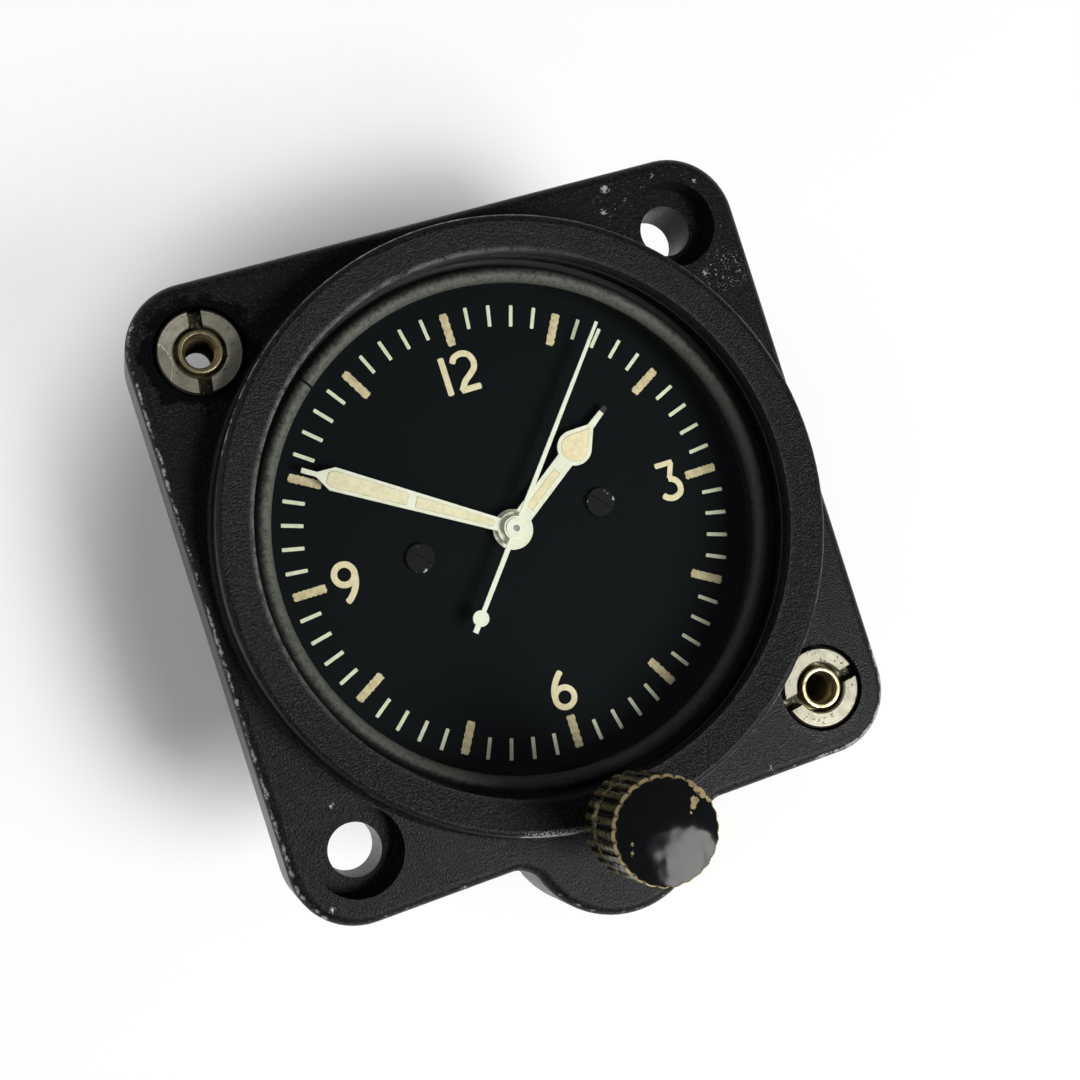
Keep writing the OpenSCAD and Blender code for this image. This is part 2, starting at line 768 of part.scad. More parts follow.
minute_hub_r = 1.65;
minute_wide_y = 17.9;
minute_wide = 1.12;
minute_neck_y = 19.4;
minute_root = 0.58;
minute_bridge = [9.8, 10.6];
minute_border = 0.32;
function minute_half(y) = minute_root + (minute_wide - minute_root) * y / minute_wide_y;
module minute_hand() {
    color(hand_white) hand(minute_angle, z_minute) difference() {
        union() {
            circle(minute_hub_r);
            taper(0, minute_root, minute_wide_y, minute_wide);
            taper(minute_wide_y, minute_wide, minute_neck_y, tip_half + 0.02);
            taper(minute_wide_y, tip_half, minute_len, tip_half);
        }
        circle(cannon_r + seat);
        taper(minute_hub_r + 0.4, minute_half(minute_hub_r) - minute_border,
              minute_bridge[0], minute_half(minute_bridge[0]) - minute_border);
        taper(minute_bridge[1], minute_half(minute_bridge[1]) - minute_border,
              minute_wide_y, minute_wide - minute_border);
        taper(minute_wide_y, minute_wide - minute_border,
              minute_wide_y + 0.5, minute_wide - 2 * minute_border);
    }
}

seconds_boss_r = 1.17;
seconds_half = 0.2;
tail_disc_y = -9.25;
tail_disc_r = 0.78;
tail_end = -10.7;
module seconds_hand() {
    color(hand_white) {
        hand(seconds_angle, z_seconds) difference() {
            union() {
                circle(seconds_boss_r);
                taper(tail_disc_y, seconds_half * 1.1, 0, seconds_half * 1.2);
                taper(0, seconds_half * 1.2, seconds_len, seconds_half * 0.8);
                translate([0, tail_disc_y]) circle(tail_disc_r);
                taper(tail_end, seconds_half * 1.3, tail_disc_y, seconds_half * 1.3);
            }
            circle(seconds_r + seat);
        }
        translate([0, 0, z_seconds]) ring(seconds_boss_r - 0.2, seconds_r + seat, hand_t, seconds_boss);
    }
}

// Hands' wheels between the dial and the front plate
module cannon_pinion() {
    color(steel) difference() {
        union() {
            translate([0, 0, z_set_wheel - 0.1])
                toothed_leaves(n_cannon, m_cannon, motion_t + 0.2, 270 + minute_swing);
            disc(cannon_r, z_set_top + 0.1, z_minute + hand_t);
        }
        disc(tube_r + seat, z_set_wheel - cut, z_minute + hand_t + cut);
    }
}

module minute_wheel() {
    color(brass) at(at_minute) difference() {
        union() {
            translate([0, 0, z_set_wheel])
                toothed_wheel(n_minute, m_cannon, n_cannon, motion_t, 90 + minute_swing);
            translate([0, 0, z_set_top])
                toothed_leaves(n_minute_leaf, m_hour, z_minute_leaf_end - z_set_top, 90 + minute_swing);
        }
        disc(minute_post_r + run, z_set_wheel - cut, z_minute_leaf_end + cut);
    }
}

module hour_wheel() {
    color(brass) difference() {
        union() {
            translate([0, 0, z_hour_wheel])
                toothed_wheel(n_hour, m_hour, n_minute_leaf, wheel_t, 270 + minute_swing);
            disc(hour_pipe_r, z_hour_wheel, z_hour + hand_t);
        }
        disc(cannon_r + run, z_hour_wheel - cut, z_hour + hand_t + cut);
    }
}

// The setting wheel's gap follows the minute wheel's nearest tooth round the line between their centres
set_line = angle_to(at_setting, at_minute);
tooth_pitch = 360 / n_minute;
tooth_lag = (90 + minute_swing - set_line - 180) / tooth_pitch;
tooth_shift = (tooth_lag - round(tooth_lag)) * tooth_pitch * n_minute / n_setting;
module setting_wheel() {
    color(brass) at(at_setting, z_set_wheel) difference() {
        toothed_wheel(n_setting, m_cannon, n_minute, motion_t, set_line + 180 / n_setting - tooth_shift);
        crossings(2.2, setting_r - 1.2, 5, 1.2, motion_t);
        disc(post_r + run, -cut, motion_t + cut);
    }
}

// Going train
centre_mesh = 270;
module centre_arbor() {
    color(steel) difference() {
        union() {
            disc(tube_r, z_centre_wheel - wheel_t - leaf_over, z_minute - 0.3);
            translate([0, 0, z_barrel - great_t - leaf_over])
                toothed_leaves(n_centre_leaf, m_great, great_t + 2 * leaf_over, centre_mesh);
        }
        disc(seconds_r + run, z_centre_wheel - 2 * cut, z_minute + cut);
    }
}

module centre_wheel() {
    color(brass) translate([0, 0, z_centre_wheel - wheel_t])
        train_wheel(n_centre, m_centre, n_third_leaf, third_dir, tube_r + seat, 2, 4);
}

module third_arbor() {
    color(steel) at(at_third) {
        plain_arbor(arbor_r, z_back, z_gears);
        translate([0, 0, z_centre_wheel - wheel_t - leaf_over])
            toothed_leaves(n_third_leaf, m_centre, wheel_t + 2 * leaf_over, third_dir + 180);
    }
}

module third_wheel() {
    color(brass) at(at_third, z_third_wheel - wheel_t)
        train_wheel(n_third, m_third, n_fourth_leaf, third_dir + 180, arbor_r + seat, 1.8, 4);
}

module seconds_arbor() {
    color(steel) {
        disc(seconds_r, z_back - pivot_len, z_seconds + hand_t);
        translate([0, 0, z_third_wheel - wheel_t - leaf_over])
            toothed_leaves(n_fourth_leaf, m_third, wheel_t + 2 * leaf_over, third_dir);
    }
}

module fourth_wheel() {
    color(brass) translate([0, 0, z_fourth_wheel - wheel_t])
        train_wheel(n_fourth, m_fourth, n_escape_leaf, escape_dir, seconds_r + seat, 1.8, 4);
}

module escape_arbor() {
    color(steel) at(at_escape) {
        plain_arbor(arbor_r, z_back, z_gears);
        translate([0, 0, z_fourth_wheel - wheel_t - leaf_over])
            toothed_leaves(n_escape_leaf, m_fourth, wheel_t + 2 * leaf_over, escape_dir + 180);
    }
}

// Escape wheel with leaning, pointed teeth
escape_root = 2.5;
tooth_lean = 9;
module escape_wheel() {
    one = [polar(escape_root, 0), polar(escape_r, tooth_lean), polar(escape_r, tooth_lean + 2),
           polar(escape_root, 0.7 * 360 / n_escape)];
    color(brass) at(at_escape, z_escape) difference() {
        linear_extrude(wheel_t) polygon(toothed(n_escape, one));
        crossings(1.1, escape_root - 0.5, 4, 0.5, wheel_t);
        disc(arbor_r + seat, -cut, wheel_t + cut);
    }
}

// Pallet lever: two arms with stones beside the escape wheel, and a fork towards the balance
stone_gap = 0.35;
stone_dir = 32;
stone_w = 0.4;
stone_len = 1;
fork_end = 5.2;
stone_at = [for (s = [-1, 1]) [pallet_dist, 0] + polar(escape_r + stone_gap, 180 + s * stone_dir)];
module lever_frame() {
    at(at_pallet, z_escape) rotate(lever_dir + 180) children();
}

module stone_outline(i, grow) {
    translate(stone_at[i]) rotate(angle_to([pallet_dist, 0], stone_at[i]))
        translate([-grow, -stone_w / 2 - grow]) square([stone_len + 2 * grow, stone_w + 2 * grow]);
}

// Bar of a given width between two points
module bar(p, q, w) {
    translate(p) rotate(angle_to(p, q)) translate([0, -w / 2]) square([norm(q - p), w]);
}

arm_w = 0.9;
fork_w = 1.6;
fork_slot = 0.6;
module pallet_lever() {
    color(steel) lever_frame() difference() {
        linear_extrude(wheel_t) {
            circle(1);
            for (p = stone_at) bar([0, 0], p + polar(stone_len, angle_to([pallet_dist, 0], p)), arm_w);
            bar([0, 0], [-fork_end, 0], arm_w);
            bar([-fork_end + 1.2, 0], [-fork_end, 0], fork_w);
        }
        linear_extrude(4 * cut, center = true) {
            bar([-fork_end + 0.8, 0], [-fork_end - cut, 0], fork_slot);
            for (s = [0, 1]) stone_outline(s, seat);
        }
        disc(arbor_r + seat, -cut, wheel_t + cut);
    }
}

module pallet_stones() {
    color(ruby) lever_frame() for (s = [0, 1]) linear_extrude(wheel_t) stone_outline(s, 0);
}

module pallet_arbor() {
    color(steel) at(at_pallet) plain_arbor(arbor_r, z_back, z_gears);
}

// Balance behind the back plate, on a staff that reaches through to the front plate
staff_collar = 1.1;
module balance_staff() {
    z_roller = z_escape + wheel_t + roller_gap;
    color(steel) at(at_balance) {
        plain_arbor(arbor_r, z_cock, z_gears);
        disc(1.5, z_roller, z_roller + roller_t);
        translate([polar(1.15, lever_dir + 180)[0], polar(1.15, lever_dir + 180)[1], 0])
            disc(0.22, z_escape + wheel_t + impulse_gap, z_roller);
        disc(staff_collar, z_balance, z_balance + 0.5);
    }
}

balance_rim = 1.1;
module balance_wheel() {
    color(brass) at(at_balance, z_balance - balance_t) difference() {
        disc(balance_r, 0, balance_t);
        crossings(1.4, balance_r - balance_rim, 3, 0.9, balance_t);
        disc(arbor_r + seat, -cut, balance_t + cut);
    }
}

// Flat spiral strip: points along one side, set off from the middle line
function spiral(r, pitch, turns, steps, side) =
    [for (i = [0:turns * steps]) polar(r + pitch * i / steps + side, i * 360 / steps)];
function reversed(list) = [for (i = [len(list) - 1:-1:0]) list[i]];
module spiral_strip(r, pitch, turns, steps, w, h) {
    inner = spiral(r, pitch, turns, steps, -w / 2);
    outer = spiral(r, pitch, turns, steps, w / 2);
    linear_extrude(h) polygon(concat(inner, reversed(outer)));
}

hairspring_r = 1.1;
hairspring_pitch = 0.55;
hairspring_turns = 6;
hairspring_w = 0.12;
stud_dir = 0;
module hairspring() {
    color(blued) at(at_balance, z_hairspring - spring_h)
        spiral_strip(hairspring_r, hairspring_pitch, hairspring_turns, 20, hairspring_w, spring_h);
}

stud_r = 0.4;
cock_w = 3.6;
hairspring_end = hairspring_r + hairspring_pitch * hairspring_turns + hairspring_w / 2;
at_stud = at_balance + polar(hairspring_end + stud_r + run, stud_dir);
module balance_cock() {
    z_low = z_cock - cock_t;
    color(brass) difference() {
        union() {
            at(at_balance) disc(2.1, z_low, z_cock);
            at(at_cock_foot) disc(foot_r, z_low, z_back_end);
            translate([0, 0, z_low]) linear_extrude(cock_t) bar(at_balance, at_cock_foot, cock_w);
            translate([0, 0, z_low]) linear_extrude(cock_t) bar(at_balance, at_stud + [2 * stud_r, 0], 1.5);
            at(at_stud) disc(stud_r, z_cock - cock_t / 2, z_hairspring);
        }
        at(at_balance) disc(jewel_r + seat, z_cock - jewel_t, z_cock + cut);
        at(at_cock_foot) disc(post_r + 0.1, z_low - cut, z_back_end + cut);
    }
}

module cock_screw() {
    head = 0.5;
    color(blued) at(at_cock_foot, z_cock - cock_t - head) mirror([0, 0, 1])
        slotted_screw(foot_r - 0.5, head, post_r, z_back_end - z_cock + cock_t + plate_t - 0.2, 0.4);
}

// Barrel with its cover, spring and arbor
cover_t = 0.6;
module barrel() {
    color(brass) at(at_barrel) difference() {
        union() {
            disc(drum_r, z_barrel - barrel_h, z_barrel);
            translate([0, 0, z_barrel - great_t])
                toothed_wheel(n_great, m_great, n_centre_leaf, great_t, 90);
        }
        disc(drum_r - drum_wall, z_barrel - barrel_h + drum_wall, z_barrel + cut);
        disc(barrel_arbor_r + run, z_barrel - barrel_h - cut, z_barrel);
    }
}

module barrel_cover() {
    color(brass) at(at_barrel)
        ring(drum_r - drum_wall - seat, barrel_arbor_r + run, z_barrel - cover_t, z_barrel);
}

mainspring_r = 2.6;
mainspring_turns = 7;
mainspring_w = 0.25;
mainspring_gap = 0.15;
module mainspring() {
    pitch = (drum_r - drum_wall - mainspring_w - mainspring_r) / mainspring_turns;
    color(blued) at(at_barrel, z_barrel - barrel_h + drum_wall + mainspring_gap)
        spiral_strip(mainspring_r, pitch, mainspring_turns, 20, mainspring_w,
                     barrel_h - drum_wall - cover_t - 2 * mainspring_gap);
}

module barrel_arbor() {
    z_square = z_wind - wind_t;
    color(steel) at(at_barrel) {
        disc(barrel_arbor_r, z_back + end_play, z_square - end_play);
        disc(barrel_pivot_r, z_back_end, z_back + end_play);
        translate([-barrel_square / 2, -barrel_square / 2, z_square - end_play])
            cube([barrel_square, barrel_square, wind_t + 2 * end_play]);
        disc(barrel_pivot_r, z_wind + end_play, z_plate);
        disc(barrel_pivot_r + 0.6, z_wind + end_play, z_gears - end_play);
    }
}

// Winding wheels in one line from the barrel's arbor to the stem
module ratchet_wheel() {
    side = barrel_square + 2 * seat;
    color(steel) at(at_barrel, z_wind - wind_t) difference() {
        rotate(180 / n_ratchet) toothed_wheel(n_ratchet, m_wind, n_transmission, wind_t, 270);
        translate([-side / 2, -side / 2, -cut]) cube([side, side, wind_t + 2 * cut]);
    }
}

module transmission_wheel() {
    color(steel) at(at_transmission, z_wind - wind_t) difference() {
        toothed_wheel(n_transmission, m_wind, n_wind_leaf, wind_t, 90);
        disc(post_r + run, -cut, wind_t + cut);
    }
}

click_gap = 0.15;
click_beak = norm(at_click - at_barrel) - (n_ratchet / 2 + wheel_add) * m_wind - click_gap;
module click() {
    color(steel) at(at_click, z_wind - wind_t) rotate(angle_to(at_click, at_barrel)) difference() {
        linear_extrude(wind_t) {
            circle(1.6);
            polygon([[0, -1.4], [click_beak, -0.2], [click_beak, 0.2], [0, 1.4]]);
        }
        disc(post_r + run, -cut, wind_t + cut);
    }
}

// Click spring: a curved strip round the click, with its foot riveted to the front plate
click_spring_r = 2.1;
click_spring_w = 0.2;
click_spring_foot = 0.8;
click_opening = 3;
module click_spring() {
    dir = angle_to(at_click, at_barrel);
    color(blued) at(at_click) rotate(dir + 180) {
        difference() {
            ring(click_spring_r, click_spring_r - click_spring_w, z_wind - wind_t + 0.2, z_wind - 0.2);
            translate([-2 * click_spring_r, -click_opening / 2, z_wind - 2 * cut])
                cube([2 * click_spring_r, click_opening, 4 * cut]);
        }
        translate([click_spring_r + click_spring_foot - click_spring_w / 2, 0, 0])
            disc(click_spring_foot, z_wind - wind_t + 0.2, z_gears);
    }
}

// Stem, knob and the yoke that keeps the stem from turning loose
stem_r = stem_d / 2;
stem_groove_r = 0.9;
groove_h = 0.6;
yoke_play = 0.05;
z_knob = bezel_h + knob_gap;
z_wind_pinion = z_wind - wind_t;
z_groove = z_wind_pinion - 1.2;
stem_tail = 1;
set_pinion_h = 0.9;
z_set_pinion = z_set_wheel - 0.15 - pull;
knob_socket = 5;
module stem() {
    color(steel) at(at_knob) {
        difference() {
            disc(stem_r, z_groove - groove_h - stem_tail, z_knob + knob_socket);
            ring(stem_r + cut, stem_groove_r, z_groove - groove_h, z_groove);
        }
        difference() {
            translate([0, 0, z_set_pinion - set_pinion_h])
                toothed_leaves(n_set_leaf, m_cannon, set_pinion_h, 90);
            disc(stem_r - cut / 2, z_set_pinion - 2 * cut, z_set_pinion + cut);
        }
    }
}

module winding_pinion() {
    color(steel) at(at_knob, z_wind_pinion) difference() {
        rotate(180 / n_wind_leaf) toothed_wheel(n_wind_leaf, m_wind, n_transmission, wind_t, 90);
        disc(stem_r + seat, -cut, wind_t + cut);
    }
}

module stem_bush() {
    seal_h = 1;
    color(brass) at(at_knob) difference() {
        disc(bush_d / 2, z_set_top + pocket_gap, bezel_h);
        disc(stem_r + run, -flange_t, bezel_h + cut);
        disc(stem_r + 0.4, -seal_h, 0);
    }
}

module stem_seal() {
    color(rubber) at(at_knob) ring(stem_r + 0.4 - seat, stem_r + run, -0.95, -0.05);
}

yoke_t = groove_h - 2 * yoke_play;
module shift_yoke() {
    reach = norm(at_yoke_pin - at_knob);
    color(steel) at(at_knob, z_groove - groove_h + yoke_play) difference() {
        linear_extrude(yoke_t) {
            circle(2.3);
            translate([0, -reach]) circle(1.6);
            bar([0, 0], [0, -reach], 2.6);
        }
        disc(stem_groove_r + run, -cut, yoke_t + cut);
        translate([-stem_groove_r - run, 0, -cut]) cube([2 * (stem_groove_r + run), 4, yoke_t + 2 * cut]);
        translate([0, -reach, 0]) disc(yoke_pin_r + run, -cut, yoke_t + cut);
    }
}

module yoke_pin() {
    color(steel) at(at_yoke_pin) disc(yoke_pin_r, z_groove - groove_h - 1, yoke_pin_set - flange_t);
}

// Knob with rounded flutes, a turned groove and a low domed top
flute_r = 0.95;
groove_z = 2.8;
knob_groove = 0.45;
dome_drop = 0.6;
module knob() {
    r = knob_d / 2;
    dome_r = (r ^ 2 + dome_drop ^ 2) / (2 * dome_drop);
    color(brass) at(at_knob, z_knob) difference() {
        intersection() {
            linear_extrude(knob_h) {
                circle(r - flute_r * 0.3);
                for (i = [0:knob_flutes - 1]) rotate(i * 360 / knob_flutes)
                    translate([r - flute_r, 0]) circle(flute_r, $fn = 24);
            }
            translate([0, 0, knob_h - dome_r]) sphere(dome_r, $fn = 128);
        }
        translate([0, 0, groove_z]) rotate_extrude()
            polygon([[r - 2 * knob_groove, 0], [r + cut, -knob_groove - cut], [r + cut, knob_groove + cut]]);
        disc(stem_r + seat, -cut, knob_socket);
    }
}

bezel_casting();
rear_case();
case_screws();
glass();
glass_gasket();
dial_ring();
dial();
dial_screws();
motion_ring();
captive_nut_rings();
captive_nut_sleeves();
front_plate();
back_plate();
pillars();
pillar_screws();
centre_bush();
jewels();
minute_post();
setting_post();
transmission_post();
click_screw();
click_spring();
balance_cock();
cock_screw();
hairspring();
stem_bush();
stem_seal();
yoke_pin();
hour_hand();
minute_hand();
seconds_hand();
cannon_pinion();
minute_wheel();
hour_wheel();
setting_wheel();
centre_arbor();
centre_wheel();
third_arbor();
third_wheel();
seconds_arbor();
fourth_wheel();
escape_arbor();
escape_wheel();
pallet_lever();
pallet_arbor();
pallet_stones();
balance_wheel();
balance_staff();
barrel();
barrel_cover();
mainspring();
barrel_arbor();
ratchet_wheel();
transmission_wheel();
click();
shift_yoke();
stem();
winding_pinion();
knob();
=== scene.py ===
"""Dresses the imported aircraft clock: materials, dial print, lume, nut threads, light and camera."""

import json
import math

import bmesh
import bpy
from mathutils import Matrix, Vector


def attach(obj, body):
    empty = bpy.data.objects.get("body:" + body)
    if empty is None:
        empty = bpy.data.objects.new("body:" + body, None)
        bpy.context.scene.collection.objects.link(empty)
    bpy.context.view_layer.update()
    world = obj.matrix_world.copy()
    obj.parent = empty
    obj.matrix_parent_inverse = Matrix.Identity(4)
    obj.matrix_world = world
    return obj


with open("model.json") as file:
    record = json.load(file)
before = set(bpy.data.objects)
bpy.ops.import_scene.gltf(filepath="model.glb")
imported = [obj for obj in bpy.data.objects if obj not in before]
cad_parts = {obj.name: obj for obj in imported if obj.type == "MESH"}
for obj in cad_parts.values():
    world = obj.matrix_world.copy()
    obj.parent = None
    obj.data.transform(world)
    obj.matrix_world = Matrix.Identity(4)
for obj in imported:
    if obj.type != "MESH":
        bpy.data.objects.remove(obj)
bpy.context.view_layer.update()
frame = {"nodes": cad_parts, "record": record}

MM = 0.001
nodes = frame["nodes"]
scene = bpy.context.scene
scene.view_settings.view_transform = "Standard"

# Sizes repeated from the part, in millimetres, and the angles of two hands at rest, in degrees from twelve
DIAL_Z = -4.7
FLOOR_Z = -33.7
FLANGE_HALF = 30.15
CORNER_R = 6.35
LOBE_R = 9.0
NOTCH_X = 8.87
BEZEL_R = 28.5
KNOB_Y = -28.6
KNOB_RIM_Z = 15.0
KNOB_GROOVE_Z = 9.4
FLUTES = 26
FLUTE_R = 0.95
FLUTE_AT = 3.85
HOLE_AT = 23.58
NUT_TOP = -0.1
NUT_R = 3.9
SLEEVE_MID_R = 1.78
DIAL_SCREW_X = 9.3
HOUR_ANGLE, MINUTE_ANGLE = 55.2, 302.0


class Graph:
    """One material's nodes. A value is a socket or a plain number. Coordinates are millimetres."""

    def __init__(self, name):
        self.material = bpy.data.materials.new(name)
        self.material.use_nodes = True
        self.tree = self.material.node_tree
        self.tree.nodes.clear()
        scale = self.node("ShaderNodeVectorMath", operation="SCALE")
        scale.inputs["Scale"].default_value = 1 / MM
        self.put(scale.inputs[0], self.node("ShaderNodeTexCoord").outputs["Object"])
        self.mm = scale.outputs[0]
        split = self.node("ShaderNodeSeparateXYZ")
        self.put(split.inputs[0], self.mm)
        self.x, self.y, self.z = split.outputs

    def node(self, kind, **settings):
        made = self.tree.nodes.new(kind)
        for key, value in settings.items():
            setattr(made, key, value)
        return made

    def put(self, socket, value):
        if isinstance(value, bpy.types.NodeSocket):
            self.tree.links.new(value, socket)
        else:
            socket.default_value = value

    def calc(self, operation, *values):
        made = self.node("ShaderNodeMath", operation=operation)
        for socket, value in zip(made.inputs, values):
            self.put(socket, value)
        return made.outputs[0]

    def add(self, *values):
        total = values[0]
        for value in values[1:]:
            total = self.calc("ADD", total, value)
        return total

    def times(self, *values):
        total = values[0]
        for value in values[1:]:
            total = self.calc("MULTIPLY", total, value)
        return total

    def most(self, *values):
        total = values[0]
        for value in values[1:]:
            total = self.calc("MAXIMUM", total, value)
        return total

    def flip(self, value):
        """One less the value."""
        return self.add(1.0, self.times(-1.0, value))

    def ramp(self, value, low, high, out_low=0.0, out_high=1.0):
        """Smooth step from out_low at low to out_high at high."""
        made = self.node("ShaderNodeMapRange", interpolation_type="SMOOTHSTEP")
        names = ("Value", "From Min", "From Max", "To Min", "To Max")
        for name, v in zip(names, (value, low, high, out_low, out_high)):
            self.put(made.inputs[name], v)
        return made.outputs[0]

    def span(self, x, y):
        """Length of (x, y)."""
        return self.calc("SQRT", self.add(self.times(x, x), self.times(y, y)))

    def away(self, x, y):
        """Distance from the upright line through (x, y)."""
        return self.span(self.add(self.x, -x), self.add(self.y, -y))

    def noise(self, scale, detail=3.0, rough=0.55, stretch=None, shift=0.0):
        made = self.node("ShaderNodeTexNoise")
        move = self.node("ShaderNodeMapping")
        self.put(move.inputs["Vector"], self.mm)
        move.inputs["Location"].default_value = (shift, shift * 0.7, -shift)
        if stretch:
            move.inputs["Scale"].default_value = stretch
        self.put(made.inputs["Vector"], move.outputs[0])
        made.inputs["Scale"].default_value = scale
        made.inputs["Detail"].default_value = detail
        made.inputs["Roughness"].default_value = rough
        return made.outputs[0]

    def mix(self, factor, a, b):
        """Colour a where the factor is 0 and b where it is 1."""
        made = self.node("ShaderNodeMix", data_type="RGBA")
        for index, value in ((0, factor), (6, a), (7, b)):
            if isinstance(value, tuple):
                value = (*value, 1.0)
            self.put(made.inputs[index], value)
        return made.outputs[2]

    def bump(self, height, strength, depth_mm):
        made = self.node("ShaderNodeBump")
        made.inputs["Strength"].default_value = strength
        made.inputs["Distance"].default_value = depth_mm * MM
        self.put(made.inputs["Height"], height)
        return made.outputs[0]

    def surface(self, shader):
        self.put(self.node("ShaderNodeOutputMaterial").inputs["Surface"], shader)
        return self.material

    def finish(self, **values):
        made = self.node("ShaderNodeBsdfPrincipled")
        for name, value in values.items():
            if isinstance(value, tuple):
                value = (*value, 1.0)
            self.put(made.inputs[name.replace("_", " ")], value)
        return self.surface(made.outputs[0])


def paint():
    """Satin black paint, grainy, worn to grey metal along the edges, chipped, glossy round the two nuts;
    part of the grey metal on the edges, rim and lip is painted highlight, and one patch by the knob is a
    painted glint.
    """
    g = Graph("black_paint")
    grain = g.noise(5.0, 3, 0.6)
    peel = g.times(0.3, g.noise(1.6, 2, 0.5, shift=21))
    cloud = g.noise(0.16, 3)
    break_up = g.noise(1.3, 6, 0.75, shift=7)
    speck = g.noise(5.5, 3, 0.6, shift=3)

    # Distance to the flange's outline, with the lobe joined on
    corner_at = FLANGE_HALF - CORNER_R
    qx = g.add(g.calc("ABSOLUTE", g.x), -corner_at)
    qy = g.add(g.calc("ABSOLUTE", g.y), -corner_at)
    outside = g.span(g.most(qx, 0.0), g.most(qy, 0.0))
    inside = g.calc("MINIMUM", g.most(qx, qy), 0.0)
    square = g.add(outside, inside, -CORNER_R)
    lobe = g.add(g.away(0.0, KNOB_Y), -LOBE_R)
    outline = g.calc("MINIMUM", square, lobe)
    near_outline = g.most(g.add(outline, 1.0), 0.0)
    near_front = g.most(g.add(g.z, 1.0), 0.0)
    front_edge = g.times(2.0, near_outline, near_front)
    # Edge wear is favoured along the left edge as wear, and along the lower edge and the lower right corner
    # as wear and painted highlight
    left = g.ramp(g.x, -25.0, -29.5)
    low = g.ramp(g.y, -26.5, -30.0)
    corner = g.ramp(g.add(g.x, g.times(-1.0, g.y)), 46.0, 53.0)
    wear_and_highlight_bias = g.most(g.times(corner, 1.15), left, g.times(low, 0.8))
    favour = g.add(0.4, g.times(0.5, wear_and_highlight_bias))
    edge_wear_and_highlight = g.ramp(g.add(g.times(front_edge, favour), g.times(g.add(break_up, -0.5), 1.2)), 0.84, 1.0)
    notch = g.span(g.add(g.calc("ABSOLUTE", g.x), -NOTCH_X), g.add(g.y, FLANGE_HALF))
    edge_wear_and_highlight = g.times(edge_wear_and_highlight, g.ramp(notch, 0.8, 1.8))

    # Rim of the bezel, worn, with a painted highlight that grows towards the upper right, a painted glint on
    # the bezel near the knob, and the worn band where the lip ends at upper left, stronger there as painted
    # highlight
    r = g.span(g.x, g.y)
    rim = g.times(2.0, g.ramp(r, BEZEL_R - 0.35, BEZEL_R - 0.05), g.ramp(g.z, 3.8, 4.2))
    worn_and_lit_side = g.ramp(g.add(g.x, g.y), -30.0, -6.0, 0.2, 0.48)
    worn_and_lit_side = g.most(worn_and_lit_side, g.ramp(g.away(-7.5, -27.4), 4.5, 1.5, 0.2, 0.6))
    rim_wear_and_highlight = g.ramp(g.add(g.times(rim, worn_and_lit_side), g.times(g.add(break_up, -0.5), 1.4)), 0.82, 1.0)
    # The lip's worn band is stronger towards the upper left as painted highlight
    lip_wear_and_highlight = g.ramp(g.add(g.y, g.times(-1.0, g.x)), 4.0, 30.0, 0.03, 0.26)
    lip = g.times(g.ramp(g.add(r, g.times(g.add(speck, -0.5), 0.6)), 25.6, 25.2), g.ramp(g.z, 3.0, 3.6),
                  g.ramp(break_up, 0.34, 0.56), lip_wear_and_highlight)

    on_flange = g.times(g.ramp(g.z, -1.2, -0.8), g.ramp(g.z, 0.6, 0.3))
    # Painted glint: bright grey metal on the bezel's outer wall near the knob
    knob_glint = g.times(g.ramp(g.away(-7.0, -27.4), 3.6, 1.2), g.ramp(r, BEZEL_R - 0.75, BEZEL_R - 0.3),
                    g.ramp(g.z, 2.8, 3.4), g.ramp(speck, 0.46, 0.58, 0.0, 0.8))
    wear_and_glints = g.most(edge_wear_and_highlight, knob_glint, rim_wear_and_highlight, lip)

    # Chips on the flange by place and size, with a shower of specks at the right and dots at upper right
    chips = ((17.9, 28.5, 0.38), (17.1, 26.4, 0.26), (19.6, 27.1, 0.1), (23.0, 28.6, 0.12),
             (27.0, 27.1, 0.1), (25.2, 18.2, 0.2), (-24.7, -18.8, 0.2), (-28.3, -28.2, 0.3),
             (-27.4, -27.6, 0.2), (16.2, -29.3, 0.2))
    spots = 0.0
    ragged = g.add(g.times(g.add(break_up, -0.5), 0.9), g.times(g.add(speck, -0.5), 1.2))
    for x, y, size in chips:
        spots = g.most(spots, g.ramp(g.add(g.away(x, y), ragged), size, size - 0.1))
    shower = g.times(g.ramp(g.away(27.2, 17.9), 2.6, 1.2), g.ramp(speck, 0.61, 0.66))
    dots = g.times(g.ramp(g.away(23.0, 26.5), 8.0, 4.0), g.ramp(speck, 0.69, 0.73))
    wear_and_glints = g.most(wear_and_glints, g.times(on_flange, g.most(spots, shower, dots)))

    # Smooth dark lacquer round the two nuts
    ring = g.add(g.away(-HOLE_AT, HOLE_AT), g.times(g.add(g.noise(0.55, 2, shift=11), -0.5), 4.0))
    lacquer = g.times(g.ramp(ring, 5.5, 4.7, 0.0, 0.8), on_flange)
    ring = g.add(g.away(HOLE_AT, -HOLE_AT), g.times(g.add(g.noise(0.9, 3, shift=14), -0.5), 4.0))
    lacquer = g.most(lacquer, g.times(g.ramp(ring, 5.0, 4.6, 0.0, 0.5), on_flange))

